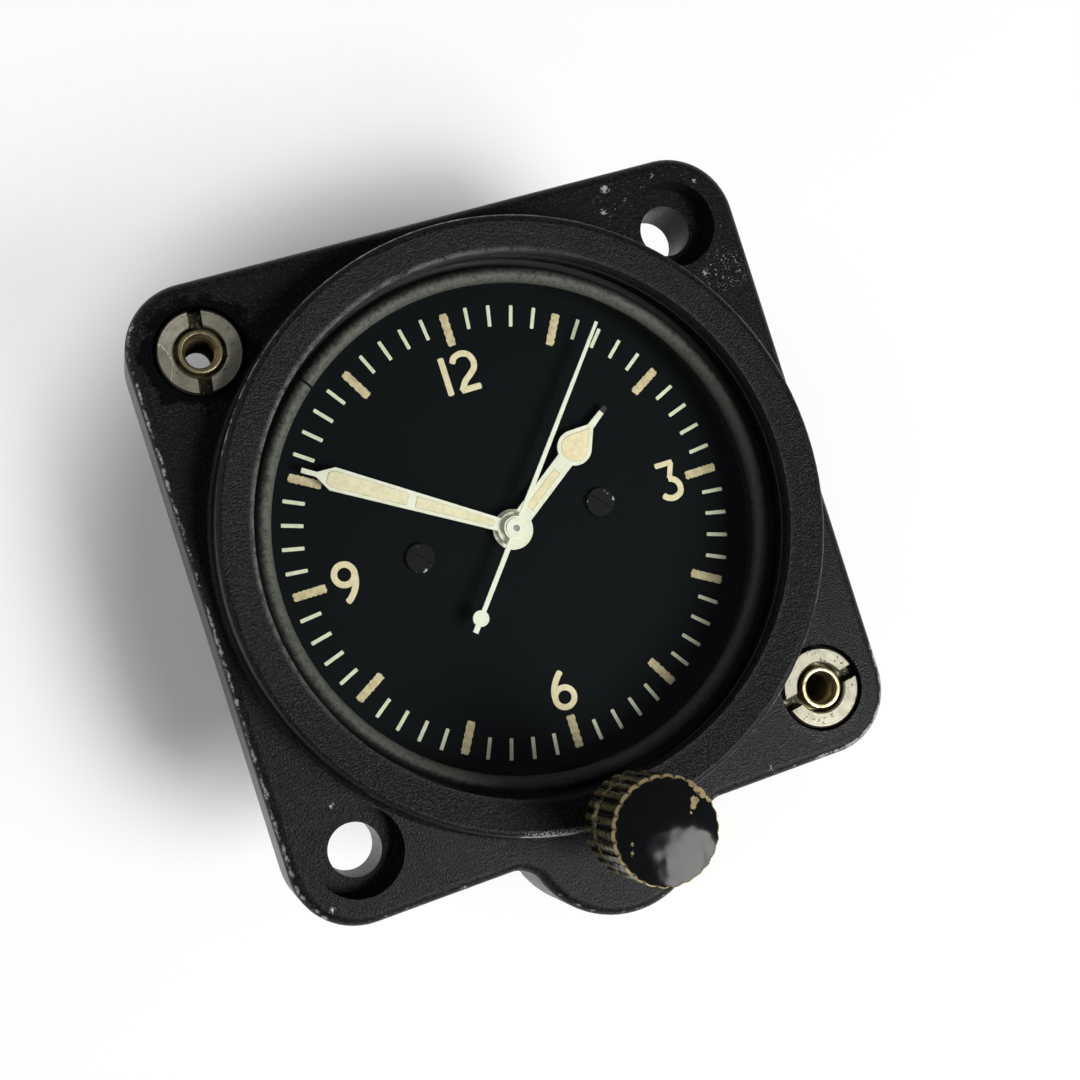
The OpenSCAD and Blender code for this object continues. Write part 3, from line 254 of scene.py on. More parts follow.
    dark = g.mix(cloud, (0.0018, 0.0022, 0.0025), (0.003, 0.0036, 0.0039))
    dark = g.mix(g.ramp(grain, 0.44, 0.64, 0.0, 0.9), dark, (0.0115, 0.0125, 0.0127))
    dark = g.mix(g.ramp(speck, 0.6, 0.7, 0.0, 0.75), dark, (0.045, 0.047, 0.046))
    dark = g.mix(lacquer, dark, (0.0016, 0.0018, 0.002))
    metal = g.mix(speck, (0.15, 0.15, 0.145), (0.56, 0.555, 0.53))
    rough = g.add(g.times(grain, 0.12), 0.24, g.times(lacquer, -0.18), g.times(wear_and_glints, 0.15))
    grainy = g.times(g.add(grain, peel, -0.65), g.add(1.0, g.times(lacquer, -0.85)))
    height = g.add(grainy, g.times(wear_and_glints, -0.3))
    # The grey metal is worn paint and chips, and on the edges, rim and lip partly painted highlight and
    # glint
    return g.finish(Base_Color=g.mix(wear_and_glints, dark, metal), Metallic=g.times(wear_and_glints, 0.5), Roughness=rough,
                    Specular_IOR_Level=0.115, Normal=g.bump(height, 1.0, 0.07))


def lacquered_knob():
    """Black lacquer on brass: worn to gold along the scalloped rim, thin on the flutes, chipped; the rim's
    gold, wider to the upper left and fullest on the crests, and the brass on crests and edges are wear and
    painted highlight.
    """
    g = Graph("knob_lacquer")
    broken = g.noise(1.9, 5, 0.65, shift=5)
    fine = g.noise(9.0, 3)
    jitter = g.add(broken, -0.5)
    down = g.add(g.y, -KNOB_Y)
    r = g.span(g.x, down)

    # Scalloped outline: round flutes on a circle
    turn = g.times(g.calc("ARCTAN2", down, g.x), FLUTES / (2 * math.pi))
    across = g.times(g.add(turn, g.times(-1.0, g.calc("ROUND", turn))), 2 * math.pi / FLUTES * FLUTE_AT)
    reach = g.calc("SQRT", g.most(g.add(FLUTE_R ** 2, g.times(-1.0, across, across)), 0.0))
    inset = g.add(FLUTE_AT, reach, g.times(-0.13, across, across), g.times(-1.0, r))

    top = g.ramp(g.z, KNOB_RIM_Z - 0.12, KNOB_RIM_Z - 0.04)
    side = g.flip(top)
    # Gold rim wider towards the upper left and fullest on the flute crests: wear and painted highlight
    width = g.ramp(g.add(down, g.times(-1.0, g.x)), -4.0, 5.5, 0.12, 0.34)
    aside = g.calc("ABSOLUTE", across)
    rim = g.times(top, g.ramp(g.add(inset, g.times(jitter, 0.26)), width, g.add(width, -0.08)),
                  g.ramp(aside, 0.44, 0.28, 0.25, 1.0))
    # Brass on the flute crests, the top edge and the groove edges: thin lacquer and painted highlight
    crest = g.times(g.ramp(aside, 0.3, 0.1), g.ramp(broken, 0.34, 0.6, 0.15, 0.75))
    from_groove = g.calc("ABSOLUTE", g.add(g.z, -KNOB_GROOVE_Z))
    from_edge = g.calc("ABSOLUTE", g.add(from_groove, -0.48))
    collar = g.times(g.ramp(from_edge, 0.16, 0.05), g.ramp(broken, 0.4, 0.6))
    brow = g.times(g.ramp(g.z, KNOB_RIM_Z - 0.6, KNOB_RIM_Z - 0.05), g.ramp(broken, 0.36, 0.56))
    thin_and_highlight = g.times(side, g.most(crest, g.times(0.8, g.most(collar, brow))))

    # Chips on the top, by place from the knob's axis and size
    chips = ((3.5, 3.0, 0.4), (3.95, 2.45, 0.5), (4.25, 1.9, 0.5), (4.5, 1.35, 0.34), (3.15, 1.7, 0.4),
             (2.85, 1.2, 0.32), (2.5, 0.8, 0.14), (-3.2, 0.05, 0.15), (-3.45, -0.85, 0.15))
    bare_and_highlight = rim
    ragged = g.times(g.add(g.noise(1.7, 4, 0.65, shift=2), -0.5), 0.9)
    for x, y, size in chips:
        spot = g.add(g.away(x, y + KNOB_Y), ragged)
        bare_and_highlight = g.most(bare_and_highlight, g.times(top, g.ramp(spot, size, size - 0.1)))

    gold = g.mix(fine, (0.2, 0.16, 0.075), (0.35, 0.28, 0.14))
    gold = g.mix(g.ramp(broken, 0.5, 0.7, 0.0, 0.7), gold, (0.11, 0.09, 0.042))
    worn_and_highlight = g.most(bare_and_highlight, thin_and_highlight)
    colour = g.mix(thin_and_highlight, (0.0038, 0.0043, 0.0048), (0.17, 0.14, 0.063))
    rough = g.add(0.1, g.times(worn_and_highlight, 0.25), g.times(g.ramp(g.noise(0.5, 2, shift=3), 0.42, 0.62), 0.06))
    height = g.add(g.times(bare_and_highlight, -0.1), g.times(g.noise(0.4, 1, shift=8), 0.22))
    return g.finish(Base_Color=g.mix(bare_and_highlight, colour, gold), Metallic=g.times(worn_and_highlight, 0.5), Roughness=rough,
                    Specular_IOR_Level=0.125, Normal=g.bump(height, 1.0, 0.5))


def dial_paint():
    """Flat black of the dial, with a little dust."""
    g = Graph("dial_black")
    fine, cloud = g.noise(7.0, 3), g.noise(0.2, 3, shift=4)
    dust = g.ramp(g.noise(5.0, 2, shift=9), 0.72, 0.8, 0.0, 0.35)
    base = g.mix(cloud, (0.0027, 0.0047, 0.0056), (0.0038, 0.006, 0.0069))
    return g.finish(Base_Color=g.mix(dust, base, (0.03, 0.031, 0.029)),
                    Roughness=g.add(0.55, g.times(fine, 0.16)),
                    Specular_IOR_Level=0.04, Normal=g.bump(fine, 0.12, 0.02))


def aged_paint(name, pale, deep, scale, depth, rough=0.62):
    """Old printed or brushed paint, mottled from pale to deep, with a few dark specks."""
    g = Graph(name)
    mottle, fine = g.noise(scale, 4, 0.6), g.noise(scale * 5, 3, shift=6)
    colour = g.mix(g.ramp(mottle, 0.36, 0.68), pale, deep)
    colour = g.mix(g.ramp(fine, 0.66, 0.78, 0.0, 0.4), colour, tuple(0.35 * c for c in deep))
    return g.finish(Base_Color=colour, Roughness=g.add(rough, g.times(fine, 0.14)),
                    Specular_IOR_Level=0.25, Normal=g.bump(g.add(fine, mottle), 0.35, depth))


def hand_paint(name, tip=None):
    """Off-white enamel of the hands. Past the radius tip the paint is gone and dark steel shows."""
    g = Graph(name)
    mottle, fine = g.noise(1.2, 4, 0.6), g.noise(6.0, 3, shift=6)
    colour = g.mix(g.ramp(mottle, 0.36, 0.68), (0.83, 0.84, 0.69), (0.77, 0.77, 0.6))
    colour = g.mix(g.ramp(fine, 0.7, 0.8, 0.0, 0.35), colour, (0.3, 0.29, 0.2))
    if tip:
        reach = g.add(g.span(g.x, g.y), g.times(mottle, 0.3))
        colour = g.mix(g.ramp(reach, tip, tip + 0.12), colour, (0.035, 0.033, 0.03))
    return g.finish(Base_Color=colour, Roughness=g.add(0.42, g.times(fine, 0.14)), Specular_IOR_Level=0.25,
                    Normal=g.bump(g.add(fine, mottle), 0.3, 0.015))


def ring_grey():
    """Grey-green bead, blotched, darker towards its outside from dirt and painted shade under the lip,
    darker towards the lower right as painted shade; the wall below it is black like the dial.
    """
    g = Graph("ring_grey")
    fine, cloud = g.noise(2.6, 5, 0.68), g.noise(0.3, 3, shift=2)
    r = g.span(g.x, g.y)
    colour = g.mix(cloud, (0.065, 0.071, 0.057), (0.12, 0.127, 0.102))
    colour = g.mix(g.ramp(fine, 0.46, 0.7, 0.0, 0.8), colour, (0.022, 0.024, 0.02))
    # Painted shade: darker towards the lower right
    shaded = g.ramp(g.add(g.times(-0.62, g.x), g.times(0.78, g.y)), -16.0, 8.0, 0.75, 0.0)
    # Darker towards the outside under the lip as dirt and painted shade, and near black below the bead
    dirt_and_painted_shade = g.most(g.ramp(g.add(r, g.times(fine, 1.2)), 24.2, 25.2), g.ramp(g.z, -0.8, -1.2), shaded)
    return g.finish(Base_Color=g.mix(dirt_and_painted_shade, colour, (0.006, 0.0068, 0.0072)),
                    Roughness=g.add(0.5, g.times(fine, 0.2)),
                    Specular_IOR_Level=0.3, Normal=g.bump(fine, 0.3, 0.04))


def worn_metal(name, light, dark, rough, stretch=None):
    """Bare metal with fine tool lines, uneven tone and dirt in patches."""
    g = Graph(name)
    lines, cloud = g.noise(8.0, 4, 0.7, stretch), g.noise(1.0, 4, 0.6, shift=5)
    colour = g.mix(lines, dark, light)
    dark_share = g.ramp(cloud, 0.5, 0.72, 0.0, 0.35)
    return g.finish(Base_Color=g.mix(dark_share, colour, (0.03, 0.028, 0.024)), Metallic=1.0,
                    Roughness=g.add(rough, g.times(lines, 0.16), g.times(dark_share, 0.25)),
                    Normal=g.bump(lines, 0.18, 0.02))


def nut_radius(g):
    """Distance from the axis of the nearer captive nut."""
    return g.calc("MINIMUM", g.away(-HOLE_AT, HOLE_AT), g.away(HOLE_AT, -HOLE_AT))


def turned_nickel():
    """Dull nickel, turned in fine rings, pitted, darker in the slots, with a long scratch at upper left."""
    g = Graph("nickel")
    r = nut_radius(g)
    lathe = g.node("ShaderNodeTexNoise", noise_dimensions="1D")
    g.put(lathe.inputs["W"], g.times(r, 5.0))
    lathe.inputs["Detail"].default_value = 3.0
    rings = lathe.outputs[0]
    cloud = g.noise(0.8, 4, 0.6, shift=5)
    pits = g.ramp(g.noise(2.6, 3, 0.6, shift=17), 0.61, 0.67, 0.0, 0.85)
    fleck = g.ramp(g.noise(3.4, 2, 0.5, shift=29), 0.54, 0.64, 0.97, 0.35)
    rim = g.ramp(r, NUT_R - 0.2, NUT_R)
    slot = g.ramp(g.add(g.z, g.times(cloud, 0.2)), NUT_TOP - 0.3, NUT_TOP - 0.7)
    # The scratch is part of a circle whose middle lies left of the nut
    arc = g.calc("ABSOLUTE", g.add(g.away(-HOLE_AT - 5.6, HOLE_AT - 0.3), -2.9))
    scratch = g.times(g.ramp(arc, 0.13, 0.06), g.ramp(g.x, 0.0, -1.0), g.flip(slot))
    colour = g.mix(g.ramp(rings, 0.36, 0.64), (0.2, 0.193, 0.15), (0.42, 0.404, 0.32))
    colour = g.mix(g.ramp(cloud, 0.42, 0.72, 0.0, 0.7), colour, (0.17, 0.164, 0.126))
    colour = g.mix(g.most(pits, g.times(slot, fleck)), colour, (0.03, 0.026, 0.015))
    rough = g.add(0.4, g.times(rings, 0.14), g.times(scratch, -0.2))
    height = g.add(rings, g.times(pits, -0.6), g.times(scratch, -0.8), g.times(rim, -7.0))
    return g.finish(Base_Color=g.mix(scratch, colour, (0.86, 0.78, 0.56)), Metallic=1.0, Roughness=rough,
                    Normal=g.bump(height, 0.5, 0.03))


def turned_sleeve():
    """Brass sleeve with a slightly crowned mouth, darker round its foot, darkened down its bore as painted
    shade, dirty in patches.
    """
    g = Graph("sleeve_brass")
    r = nut_radius(g)
    fine, cloud = g.noise(7.0, 3, 0.6), g.noise(0.9, 4, 0.6, shift=5)
    off = g.add(r, -SLEEVE_MID_R)
    crown = g.add(g.times(-0.9, off, off), g.ramp(g.calc("ABSOLUTE", off), 0.18, 0.29, 0.1, 0.0))
    mouth = g.ramp(g.z, NUT_TOP - 0.2, NUT_TOP - 0.1)
    colour = g.mix(fine, (0.4, 0.33, 0.18), (0.66, 0.56, 0.33))
    foot = g.times(g.ramp(r, 2.0, 2.1), g.ramp(g.z, NUT_TOP - 0.1, NUT_TOP - 0.4),
                   g.ramp(cloud, 0.3, 0.6, 0.5, 0.95))
    patches = g.ramp(cloud, 0.5, 0.7, 0.0, 0.75)
    # Painted shade: the bore darkens downwards from its mouth
    bore_shade = g.ramp(g.z, NUT_TOP - 0.4, NUT_TOP - 2.0, 0.0, 0.85)
    dark_share = g.most(patches, bore_shade, foot)
    rough = g.add(0.26, g.times(fine, 0.12), g.times(dark_share, 0.2))
    height = g.add(g.times(crown, mouth), g.times(fine, 0.015))
    return g.finish(Base_Color=g.mix(dark_share, colour, (0.035, 0.028, 0.014)), Metallic=1.0, Roughness=rough,
                    Normal=g.bump(height, 1.0, 0.8))


def blackened_screws():
    """Dial screws painted over with the dial, with bare metal in a few places along the rim as painted
    glints.
    """
    g = Graph("screw_black")
    fine, broken = g.noise(5.0, 3), g.noise(0.9, 3, 0.6, shift=13)
    rim = g.ramp(g.span(g.add(g.calc("ABSOLUTE", g.x), -DIAL_SCREW_X), g.y), 1.0, 1.12)
    # Painted glints: bare metal in a few places along the screw rims
    bare_and_highlight = g.times(rim, g.ramp(broken, 0.6, 0.66), g.ramp(g.z, DIAL_Z + 0.2, DIAL_Z + 0.3))
    colour = g.mix(fine, (0.0028, 0.0042, 0.005), (0.0055, 0.007, 0.0076))
    return g.finish(Base_Color=g.mix(bare_and_highlight, colour, (0.42, 0.42, 0.4)), Metallic=g.times(bare_and_highlight, 0.8),
                    Roughness=g.add(0.4, g.times(fine, 0.2)),
                    Specular_IOR_Level=0.12, Normal=g.bump(fine, 0.4, 0.03))


def stone():
    """Polished red stone of the bearings and pallets."""
    g = Graph("ruby")
    return g.finish(Base_Color=g.mix(g.noise(1.5, 2), (0.36, 0.02, 0.05), (0.5, 0.05, 0.1)),
                    Roughness=g.add(0.06, g.times(g.noise(6.0), 0.05)))


def black_rubber():
    """Dull black rubber of the seals."""
    g = Graph("rubber")
    fine = g.noise(4.0, 4)
    return g.finish(Base_Color=g.mix(fine, (0.008, 0.008, 0.008), (0.02, 0.02, 0.019)),
                    Roughness=g.add(0.6, g.times(fine, 0.2)), Normal=g.bump(fine, 0.25, 0.03))


def clear_glass():
    """Flat glass: what is behind it, with a Fresnel reflection over it that is a little uneven."""
    g = Graph("glass")
    through = g.node("ShaderNodeBsdfTransparent")
    through.inputs["Color"].default_value = (0.985, 0.993, 0.99, 1.0)
    gloss = g.node("ShaderNodeBsdfGlossy")
    g.put(gloss.inputs["Roughness"], g.ramp(g.noise(0.3, 4), 0.3, 0.8, 0.015, 0.05))
    fresnel = g.node("ShaderNodeFresnel")
    fresnel.inputs["IOR"].default_value = 1.5
    both = g.node("ShaderNodeMixShader")
    front = g.flip(g.node("ShaderNodeNewGeometry").outputs["Backfacing"])
    g.put(both.inputs[0], g.times(fresnel.outputs[0], front))
    g.put(both.inputs[1], through.outputs[0])
    g.put(both.inputs[2], gloss.outputs[0])
    return g.surface(both.outputs[0])


slots = {
    "black_paint": paint(),
    "black_lacquer": lacquered_knob(),
    "dial_black": dial_paint(),
    "hand_white": hand_paint("hand_white"),
    "ring_grey": ring_grey(),
    "glass": clear_glass(),
    "nickel": turned_nickel(),
    "brass": worn_metal("brass", (0.62, 0.45, 0.19), (0.42, 0.29, 0.11), rough=0.24),
    "steel": worn_metal("steel", (0.5, 0.51, 0.52), (0.3, 0.31, 0.32), rough=0.28, stretch=(1, 1, 6)),
    "blued_steel": worn_metal("blued_steel", (0.05, 0.075, 0.19), (0.02, 0.03, 0.09), rough=0.2),
    "ruby": stone(),
    "rubber": black_rubber(),
}
sleeve_brass = turned_sleeve()
special = {
    "captive_nut_sleeves": sleeve_brass,
    "dial_screws": blackened_screws(),
    "hour_hand": hand_paint("hour_white", tip=14.75),
}
for part in frame["record"]["subparts"]:
    node = nodes[part["node"]]
    node.data.materials.clear()
    node.data.materials.append(special.get(part["node"], slots[part["material_slot"]]))


def piece(name, mesh_parts, material, body):
    """One new object from lists of (points, faces) in millimetres."""
    shape = bmesh.new()
    for points, faces in mesh_parts:
        verts = [shape.verts.new([c * MM for c in p]) for p in points]
        for face in faces:
            shape.faces.new([verts[i] for i in face])
    bmesh.ops.recalc_face_normals(shape, faces=shape.faces)
    mesh = bpy.data.meshes.new(name)
    shape.to_mesh(mesh)
    shape.free()
    made = bpy.data.objects.new(name, mesh)
    scene.collection.objects.link(made)
    mesh.materials.append(material)
    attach(made, body)


def plate(outline, z_low, z_high, crown):
    """Closed plate over an outline, its top edge drawn in by crown so that it looks brushed on."""
    n = len(outline)
    cx, cy = sum(p[0] for p in outline) / n, sum(p[1] for p in outline) / n
    points = [(x, y, z_low) for x, y in outline] + [(x, y, z_high - crown) for x, y in outline]
    for x, y in outline:
        share = min(1.0, crown * 1.5 / max(math.hypot(cx - x, cy - y), 1e-6))
        points.append((x + (cx - x) * share, y + (cy - y) * share, z_high))
    faces = [list(range(n)), list(range(2 * n, 3 * n))]
    for level in (0, n):
        faces += [[level + i, level + (i + 1) % n, level + n + (i + 1) % n, level + n + i] for i in range(n)]
    return points, faces


def strip(left, right, z_low, z_high):
    """Closed ribbon between two rows of points."""
    n = len(left)
    points = [(*p, z) for z in (z_low, z_high) for row in (left, right) for p in row]
    faces = []
    for i in range(n - 1):
        faces.append([i, i + 1, n + i + 1, n + i])
        faces.append([2 * n + i, 2 * n + i + 1, 3 * n + i + 1, 3 * n + i])
        faces.append([i, i + 1, 2 * n + i + 1, 2 * n + i])
        faces.append([n + i, n + i + 1, 3 * n + i + 1, 3 * n + i])
    for i in (0, n - 1):
        faces.append([i, n + i, 3 * n + i, 2 * n + i])
    return points, faces


def between(p, q, r, s, t):
    """Value at the share t from q to r, on a curve that also heeds p and s."""
    square = (2 * p - 5 * q + 4 * r - s) * t * t
    cube = (3 * q - p - 3 * r + s) * t ** 3
    return 0.5 * (2 * q + (r - p) * t + square + cube)


def smooth(points, steps=6):
    """Curve through the points, each span cut into equal steps."""
    rows = [points[0]] + list(points) + [points[-1]]
    out = []
    for a, b, c, d in zip(rows, rows[1:], rows[2:], rows[3:]):
        for k in range(steps):
            out.append(tuple(between(*values, k / steps) for values in zip(a, b, c, d)))
    return out + [points[-1]]


def stroke(points, width, z_low, z_high):
    """Brush stroke of one width with blunt ends."""
    left, right = [], []
    half = width / 2
    flatness = 0.4
    n = len(points)
    for i, (x, y) in enumerate(points):
        (ax, ay), (bx, by) = points[max(i - 1, 0)], points[min(i + 1, n - 1)]
        long = math.hypot(bx - ax, by - ay)
        ux, uy = (bx - ax) / long, (by - ay) / long
        turns = [0.0]
        if i == 0:
            turns = [-math.cos(math.radians(a)) for a in (8, 25, 45, 65)] + [0.0]
        elif i == n - 1:
            turns = [0.0] + [math.cos(math.radians(a)) for a in (65, 45, 25, 8)]
        for along in turns:
            side = math.sqrt(1 - along * along)
            blunt = flatness * along
            left.append((x + half * (ux * blunt - uy * side), y + half * (uy * blunt + ux * side)))
            right.append((x + half * (ux * blunt + uy * side), y + half * (uy * blunt - ux * side)))
    return strip(left, right, z_low, z_high)


def circle(cx, cy, r, count=36):
    """Points round a circle, the first one repeated at the end."""
    angles = [2 * math.pi * i / count for i in range(count + 1)]
    return [(cx + r * math.cos(a), cy + r * math.sin(a)) for a in angles]


def turned(points, angle):
    """Points turned clockwise from twelve."""
    t = math.radians(-angle)
    return [(x * math.cos(t) - y * math.sin(t), x * math.sin(t) + y * math.cos(t)) for x, y in points]


def rounded(width, low, high, angle):
    """Outline of a radial mark with rounded corners, turned clockwise from twelve."""
    corner_share = 0.22
    h, c = width / 2, width * corner_share
    corners = [(-h + c, low + c, 180), (h - c, low + c, 270), (h - c, high - c, 0), (-h + c, high - c, 90)]
    out = []
    for cx, cy, start in corners:
        for turn in (0, 30, 60, 90):
            a = math.radians(start + turn)
            out.append((cx + c * math.cos(a), cy + c * math.sin(a)))
    return turned(out, angle)


def uneven(outline, depth, seed):
    """Hand-filled outline: every side cut short and each point moved a little, the same way each run."""
    step_mm = 0.22
    out = []
    for i, (x, y) in enumerate(outline):
        ax, ay = outline[(i + 1) % len(outline)]
        steps = max(1, int(math.hypot(ax - x, ay - y) / step_mm))
        out += [(x + (ax - x) * k / steps, y + (ay - y) * k / steps) for k in range(steps)]
    wave = [(math.sin(2.1 * k + 1.7 * seed), math.sin(3.3 * k + 0.9 * seed + 2.0)) for k in range(len(out))]
    return [(x + depth * a, y + depth * b) for (x, y), (a, b) in zip(out, wave)]


# Dial print: sixty marks, each with its width and two radii, and the plain numbers 12, 3, 6 and 9
PRINT = (DIAL_Z, DIAL_Z + 0.03)
LIFT = (DIAL_Z, DIAL_Z + 0.033)
PRINT_EDGE = 0.012
MINUTE_MARK = (0.36, 19.85, 21.95)
HOUR_MARK = (0.8, 18.6, 21.8)
HOUR_WOBBLE = 0.05
NUMBER_W = 0.6
THIN_W = 0.52
cream = aged_paint("dial_print", (0.79, 0.71, 0.46), (0.7, 0.61, 0.38), scale=2.2, depth=0.015)
tan = aged_paint("mark_tan", (0.68, 0.6, 0.36), (0.52, 0.42, 0.23), scale=2.0, depth=0.03)
pale = aged_paint("mark_pale", (0.77, 0.79, 0.58), (0.69, 0.7, 0.49), scale=2.2, depth=0.015)
hours, minutes = [], []
for i in range(60):
    if i % 5:
        minutes.append(plate(rounded(*MINUTE_MARK, 6 * i), *PRINT, PRINT_EDGE))
    else:
        hours.append(plate(uneven(rounded(*HOUR_MARK, 6 * i), HOUR_WOBBLE, i), *PRINT, PRINT_EDGE))
piece("hour_marks", hours, tan, "case")
piece("minute_marks", minutes, pale, "case")

numbers = [
    stroke([(-1.55, 14.1), (-1.55, 17.65)], NUMBER_W, *PRINT),
    stroke(smooth([(-0.53, 17.03), (-0.2, 17.48), (0.52, 17.67), (1.18, 17.4), (1.5, 16.73), (1.38, 16.05),
                   (0.85, 15.53), (0.18, 15.0), (-0.23, 14.4), (-0.38, 14.22)]), NUMBER_W, *PRINT),
    stroke([(-0.38, 14.19), (1.45, 14.19)], NUMBER_W, *LIFT),
    stroke([(15.9, 1.73), (17.6, 1.73)], THIN_W, *PRINT),
    stroke([(17.5, 1.66), (16.95, 0.3)], THIN_W, *LIFT),
    stroke(smooth([(16.92, 0.2), (17.3, 0.02), (17.62, -0.32), (17.75, -0.85), (17.52, -1.45), (16.8, -1.72),
                   (16.2, -1.57), (15.86, -1.28)]), NUMBER_W, *PRINT),
    strip(circle(0.06, -16.83, 1.24), circle(0.06, -16.83, 0.66), *PRINT),
    stroke(smooth([(-0.86, -16.82), (-0.83, -16.2), (-0.57, -15.5), (-0.08, -14.8), (0.32, -14.4)]),
           NUMBER_W, *LIFT),
    strip(circle(-16.62, 0.68, 1.27), circle(-16.62, 0.68, 0.66), *PRINT),
    stroke(smooth([(-15.64, 0.65), (-15.75, -0.17), (-16.13, -1.0), (-16.65, -1.6), (-17.0, -1.85)]),
           NUMBER_W, *LIFT),
]
piece("dial_numerals", numbers, cream, "case")

# Lume in the windows of the hour and minute hands, with a small gap all round
GAP = 0.02
LUME_EDGE = 0.03
HOUR_LUME_Z = (-3.97, -3.73)
MINUTE_LUME_Z = (-3.32, -3.08)
HOUR_BORDER = 0.38
HOUR_SLOT = (2.65, 7.18)
MINUTE_BORDER = 0.32
MINUTE_ROOT = 0.58
MINUTE_FLARE = 0.54
MINUTE_HUB_R = 1.65
MINUTE_WIDE_Y = 17.9
MINUTE_INNER = (2.05, 9.8)
MINUTE_OUTER = (10.6, 18.4)
MINUTE_NOSE = 0.48
lume = aged_paint("lume", (0.87, 0.78, 0.5), (0.78, 0.67, 0.4), scale=1.5, depth=0.05, rough=0.7)
lume_pale = aged_paint("lume_pale", (0.83, 0.77, 0.52), (0.73, 0.66, 0.42), scale=1.5, depth=0.05, rough=0.7)

bulb_y, bulb_r, neck = 10.1, 1.72, 13.3
inner = bulb_r - HOUR_BORDER - GAP
tangent = math.acos(bulb_r / (neck - bulb_y))
shoulder = math.pi / 2 - tangent
bulb_angles = [math.pi - shoulder + (math.pi + 2 * shoulder) * k / 40 for k in range(41)]
bulb = [(inner * math.cos(a), bulb_y + inner * math.sin(a)) for a in bulb_angles]
bulb.append((0.0, bulb_y + (neck - bulb_y) * inner / bulb_r))
slim = HOUR_BORDER - GAP
low, high = HOUR_SLOT[0] + GAP, HOUR_SLOT[1] - GAP
stem = [(-slim, low), (slim, low), (slim, high), (-slim, high)]
hour_cells = [plate(turned(outline, HOUR_ANGLE), *HOUR_LUME_Z, LUME_EDGE) for outline in (bulb, stem)]
piece("hour_lume", hour_cells, lume, "hour")


def minute_half(y):
    """Half the width of the minute hand's lume at the radius y."""
    return MINUTE_ROOT + MINUTE_FLARE * y / MINUTE_WIDE_Y - MINUTE_BORDER - GAP


radii = (MINUTE_HUB_R, MINUTE_INNER[1], MINUTE_OUTER[0], MINUTE_WIDE_Y)
root, waist, belly, widest = (minute_half(y) for y in radii)
nose = MINUTE_NOSE - GAP
low, high = MINUTE_INNER[0] + GAP, MINUTE_INNER[1] - GAP
inner_cell = [(-root, low), (root, low), (waist, high), (-waist, high)]
low, high = MINUTE_OUTER[0] + GAP, MINUTE_OUTER[1] - GAP
outer_cell = [(-belly, low), (belly, low), (widest, MINUTE_WIDE_Y), (nose, high), (-nose, high),
              (-widest, MINUTE_WIDE_Y)]
minute_cells = [plate(turned(outline, MINUTE_ANGLE), *MINUTE_LUME_Z, LUME_EDGE)
                for outline in (inner_cell, outer_cell)]
piece("minute_lume", minute_cells, lume_pale, "centre")

# Threads in the two captive nuts: a three-cornered ridge wound up each bore
PITCH, PER_TURN, TURNS = 0.6, 32, 11
THREAD_LOW = -7.6
RIDGE = ((1.495, -0.24), (1.31, 0.0), (1.495, 0.24))
threads = []
for cx, cy in ((-HOLE_AT, HOLE_AT), (HOLE_AT, -HOLE_AT)):
    points, faces = [], []
    for k in range(PER_TURN * TURNS + 1):
        a = 2 * math.pi * k / PER_TURN
        z = THREAD_LOW + PITCH * k / PER_TURN
        for r, up in RIDGE:
            points.append((cx + r * math.cos(a), cy + r * math.sin(a), z + up))
    for k in range(PER_TURN * TURNS):
        for i in range(3):
            j = (i + 1) % 3
            faces.append([3 * k + i, 3 * k + j, 3 * k + 3 + j, 3 * k + 3 + i])
    faces += [[0, 1, 2], [len(points) - 3, len(points) - 2, len(points) - 1]]
    threads.append((points, faces))
piece("nut_threads", threads, sleeve_brass, "case")

# Pale floor that reads white to the camera and in reflections, and keeps the shadow
FLOOR_HALF_M = 3.0
floor_mesh = bpy.data.meshes.new("floor")
shape = bmesh.new()
floor_place = Matrix.Translation((0, 0, FLOOR_Z * MM))
bmesh.ops.create_grid(shape, x_segments=4, y_segments=4, size=FLOOR_HALF_M, matrix=floor_place)
shape.to_mesh(floor_mesh)
shape.free()
floor = bpy.data.objects.new("floor", floor_mesh)
scene.collection.objects.link(floor)
g = Graph("floor_paper")
diffuse = g.node("ShaderNodeBsdfDiffuse")
g.put(diffuse.inputs["Color"], g.mix(g.noise(0.02, 3), (0.87, 0.87, 0.865), (0.9, 0.9, 0.895)))
glow = g.node("ShaderNodeEmission")
rays = g.node("ShaderNodeLightPath")
kinds = [rays.outputs[name] for name in ("Is Camera Ray", "Is Glossy Ray", "Is Transmission Ray")]
seen = g.calc("MINIMUM", g.add(*kinds), 1.0)
both = g.node("ShaderNodeMixShader")
open_floor = g.ramp(g.span(g.x, g.y), 33.0, 52.0, 0.06, 0.72)
g.put(both.inputs[0], g.times(seen, open_floor))
g.put(both.inputs[1], diffuse.outputs[0])
g.put(both.inputs[2], glow.outputs[0])
floor_mesh.materials.append(g.surface(both.outputs[0]))

# Soft room: brighter towards the horizon than overhead, with a pale backdrop low down that lights nothing
HORIZON = (0.36, 0.366, 0.372, 1.0)
OVERHEAD = (0.05, 0.052, 0.056, 1.0)
BACKDROP = (0.86, 0.86, 0.855, 1.0)
world = bpy.data.worlds.new("soft_room")
scene.world = world
world.use_nodes = True
tree = world.node_tree
tree.nodes.clear()


def room_node(kind, values=(), **settings):
    """One node of the world, with the given socket values and settings."""
    made = tree.nodes.new(kind)
    for key, value in settings.items():
        setattr(made, key, value)
    for socket, value in values:
        made.inputs[socket].default_value = value
    return made


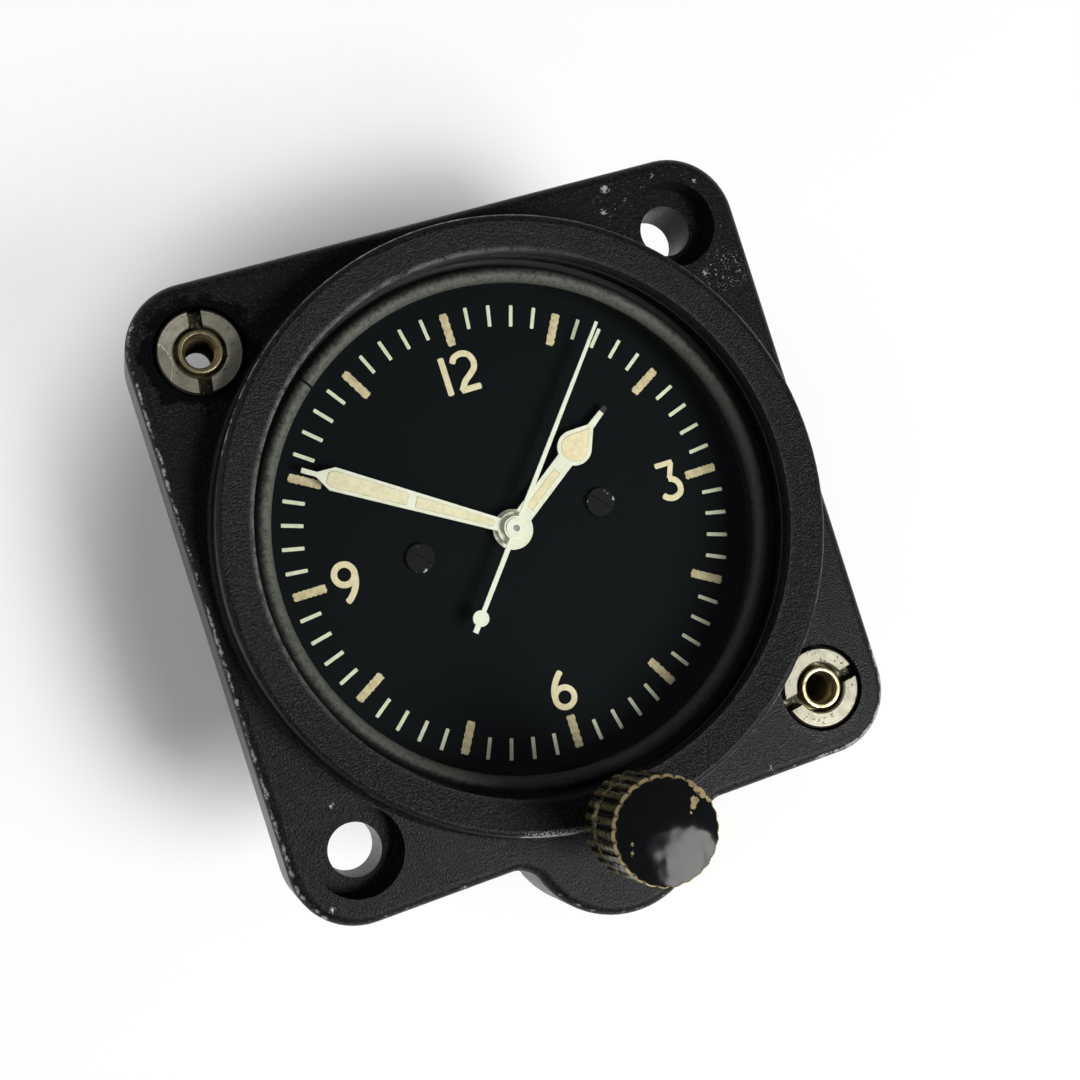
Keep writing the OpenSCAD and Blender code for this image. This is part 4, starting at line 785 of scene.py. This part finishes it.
coords = room_node("ShaderNodeTexCoord")
split = room_node("ShaderNodeSeparateXYZ")
climb = (("From Min", 0.25), ("From Max", 0.95))
rise = room_node("ShaderNodeMapRange", climb, interpolation_type="SMOOTHSTEP")
tone = room_node("ShaderNodeMix", ((6, HORIZON), (7, OVERHEAD)), data_type="RGBA")
rays = room_node("ShaderNodeLightPath")
seen = room_node("ShaderNodeMath")
seen_all = room_node("ShaderNodeMath", use_clamp=True)
fall = (("From Min", 0.12), ("From Max", 0.3), ("To Min", 1.0), ("To Max", 0.0))
low_down = room_node("ShaderNodeMapRange", fall, interpolation_type="SMOOTHSTEP")
share = room_node("ShaderNodeMath", operation="MULTIPLY")
backdrop = room_node("ShaderNodeMix", ((7, BACKDROP),), data_type="RGBA")
sky = room_node("ShaderNodeBackground")
out = room_node("ShaderNodeOutputWorld")
for source, target in (
    (coords.outputs["Generated"], split.inputs[0]),
    (split.outputs[2], rise.inputs["Value"]),
    (rise.outputs[0], tone.inputs[0]),
    (split.outputs[2], low_down.inputs["Value"]),
    (rays.outputs["Is Camera Ray"], seen.inputs[0]),
    (rays.outputs["Is Glossy Ray"], seen.inputs[1]),
    (seen.outputs[0], seen_all.inputs[0]),
    (rays.outputs["Is Transmission Ray"], seen_all.inputs[1]),
    (seen_all.outputs[0], share.inputs[0]),
    (low_down.outputs[0], share.inputs[1]),
    (share.outputs[0], backdrop.inputs[0]),
    (tone.outputs[2], backdrop.inputs[6]),
    (backdrop.outputs[2], sky.inputs["Color"]),
    (sky.outputs[0], out.inputs["Surface"]),
):
    tree.links.new(source, target)


def lamp(name, direction, distance, size, watts, colour):
    """Round soft lamp at a distance in metres, turned to the part's origin."""
    light = bpy.data.lights.new(name, "AREA")
    light.shape = "DISK"
    light.size = size
    light.energy = watts
    light.color = colour
    made = bpy.data.objects.new(name, light)
    way = Vector(direction).normalized()
    made.location = way * distance
    made.rotation_euler = way.to_track_quat("Z", "Y").to_euler()
    scene.collection.objects.link(made)


lamp("key", direction=(0.43, -0.58, 1.0), distance=0.5, size=0.24, watts=3.0, colour=(1.0, 0.99, 0.97))
lamp("fill", direction=(-0.9, 0.5, 0.8), distance=0.6, size=0.4, watts=0.8, colour=(0.97, 0.985, 1.0))

# Camera fitted to the photograph: place in millimetres, turn in radians
CAMERA_AT = (-39.2525, -3.2420, 153.017)
CAMERA_TURN = (0.08879944, -0.24322829, -0.31785007)
CAMERA_LENS = 56.424
view = bpy.data.cameras.new("camera")
view.lens = CAMERA_LENS
view.sensor_width = 36.0
view.sensor_fit = "HORIZONTAL"
view.clip_start = 0.01
camera = bpy.data.objects.new("camera", view)
camera.location = [c * MM for c in CAMERA_AT]
camera.rotation_euler = CAMERA_TURN
scene.collection.objects.link(camera)
scene.camera = camera
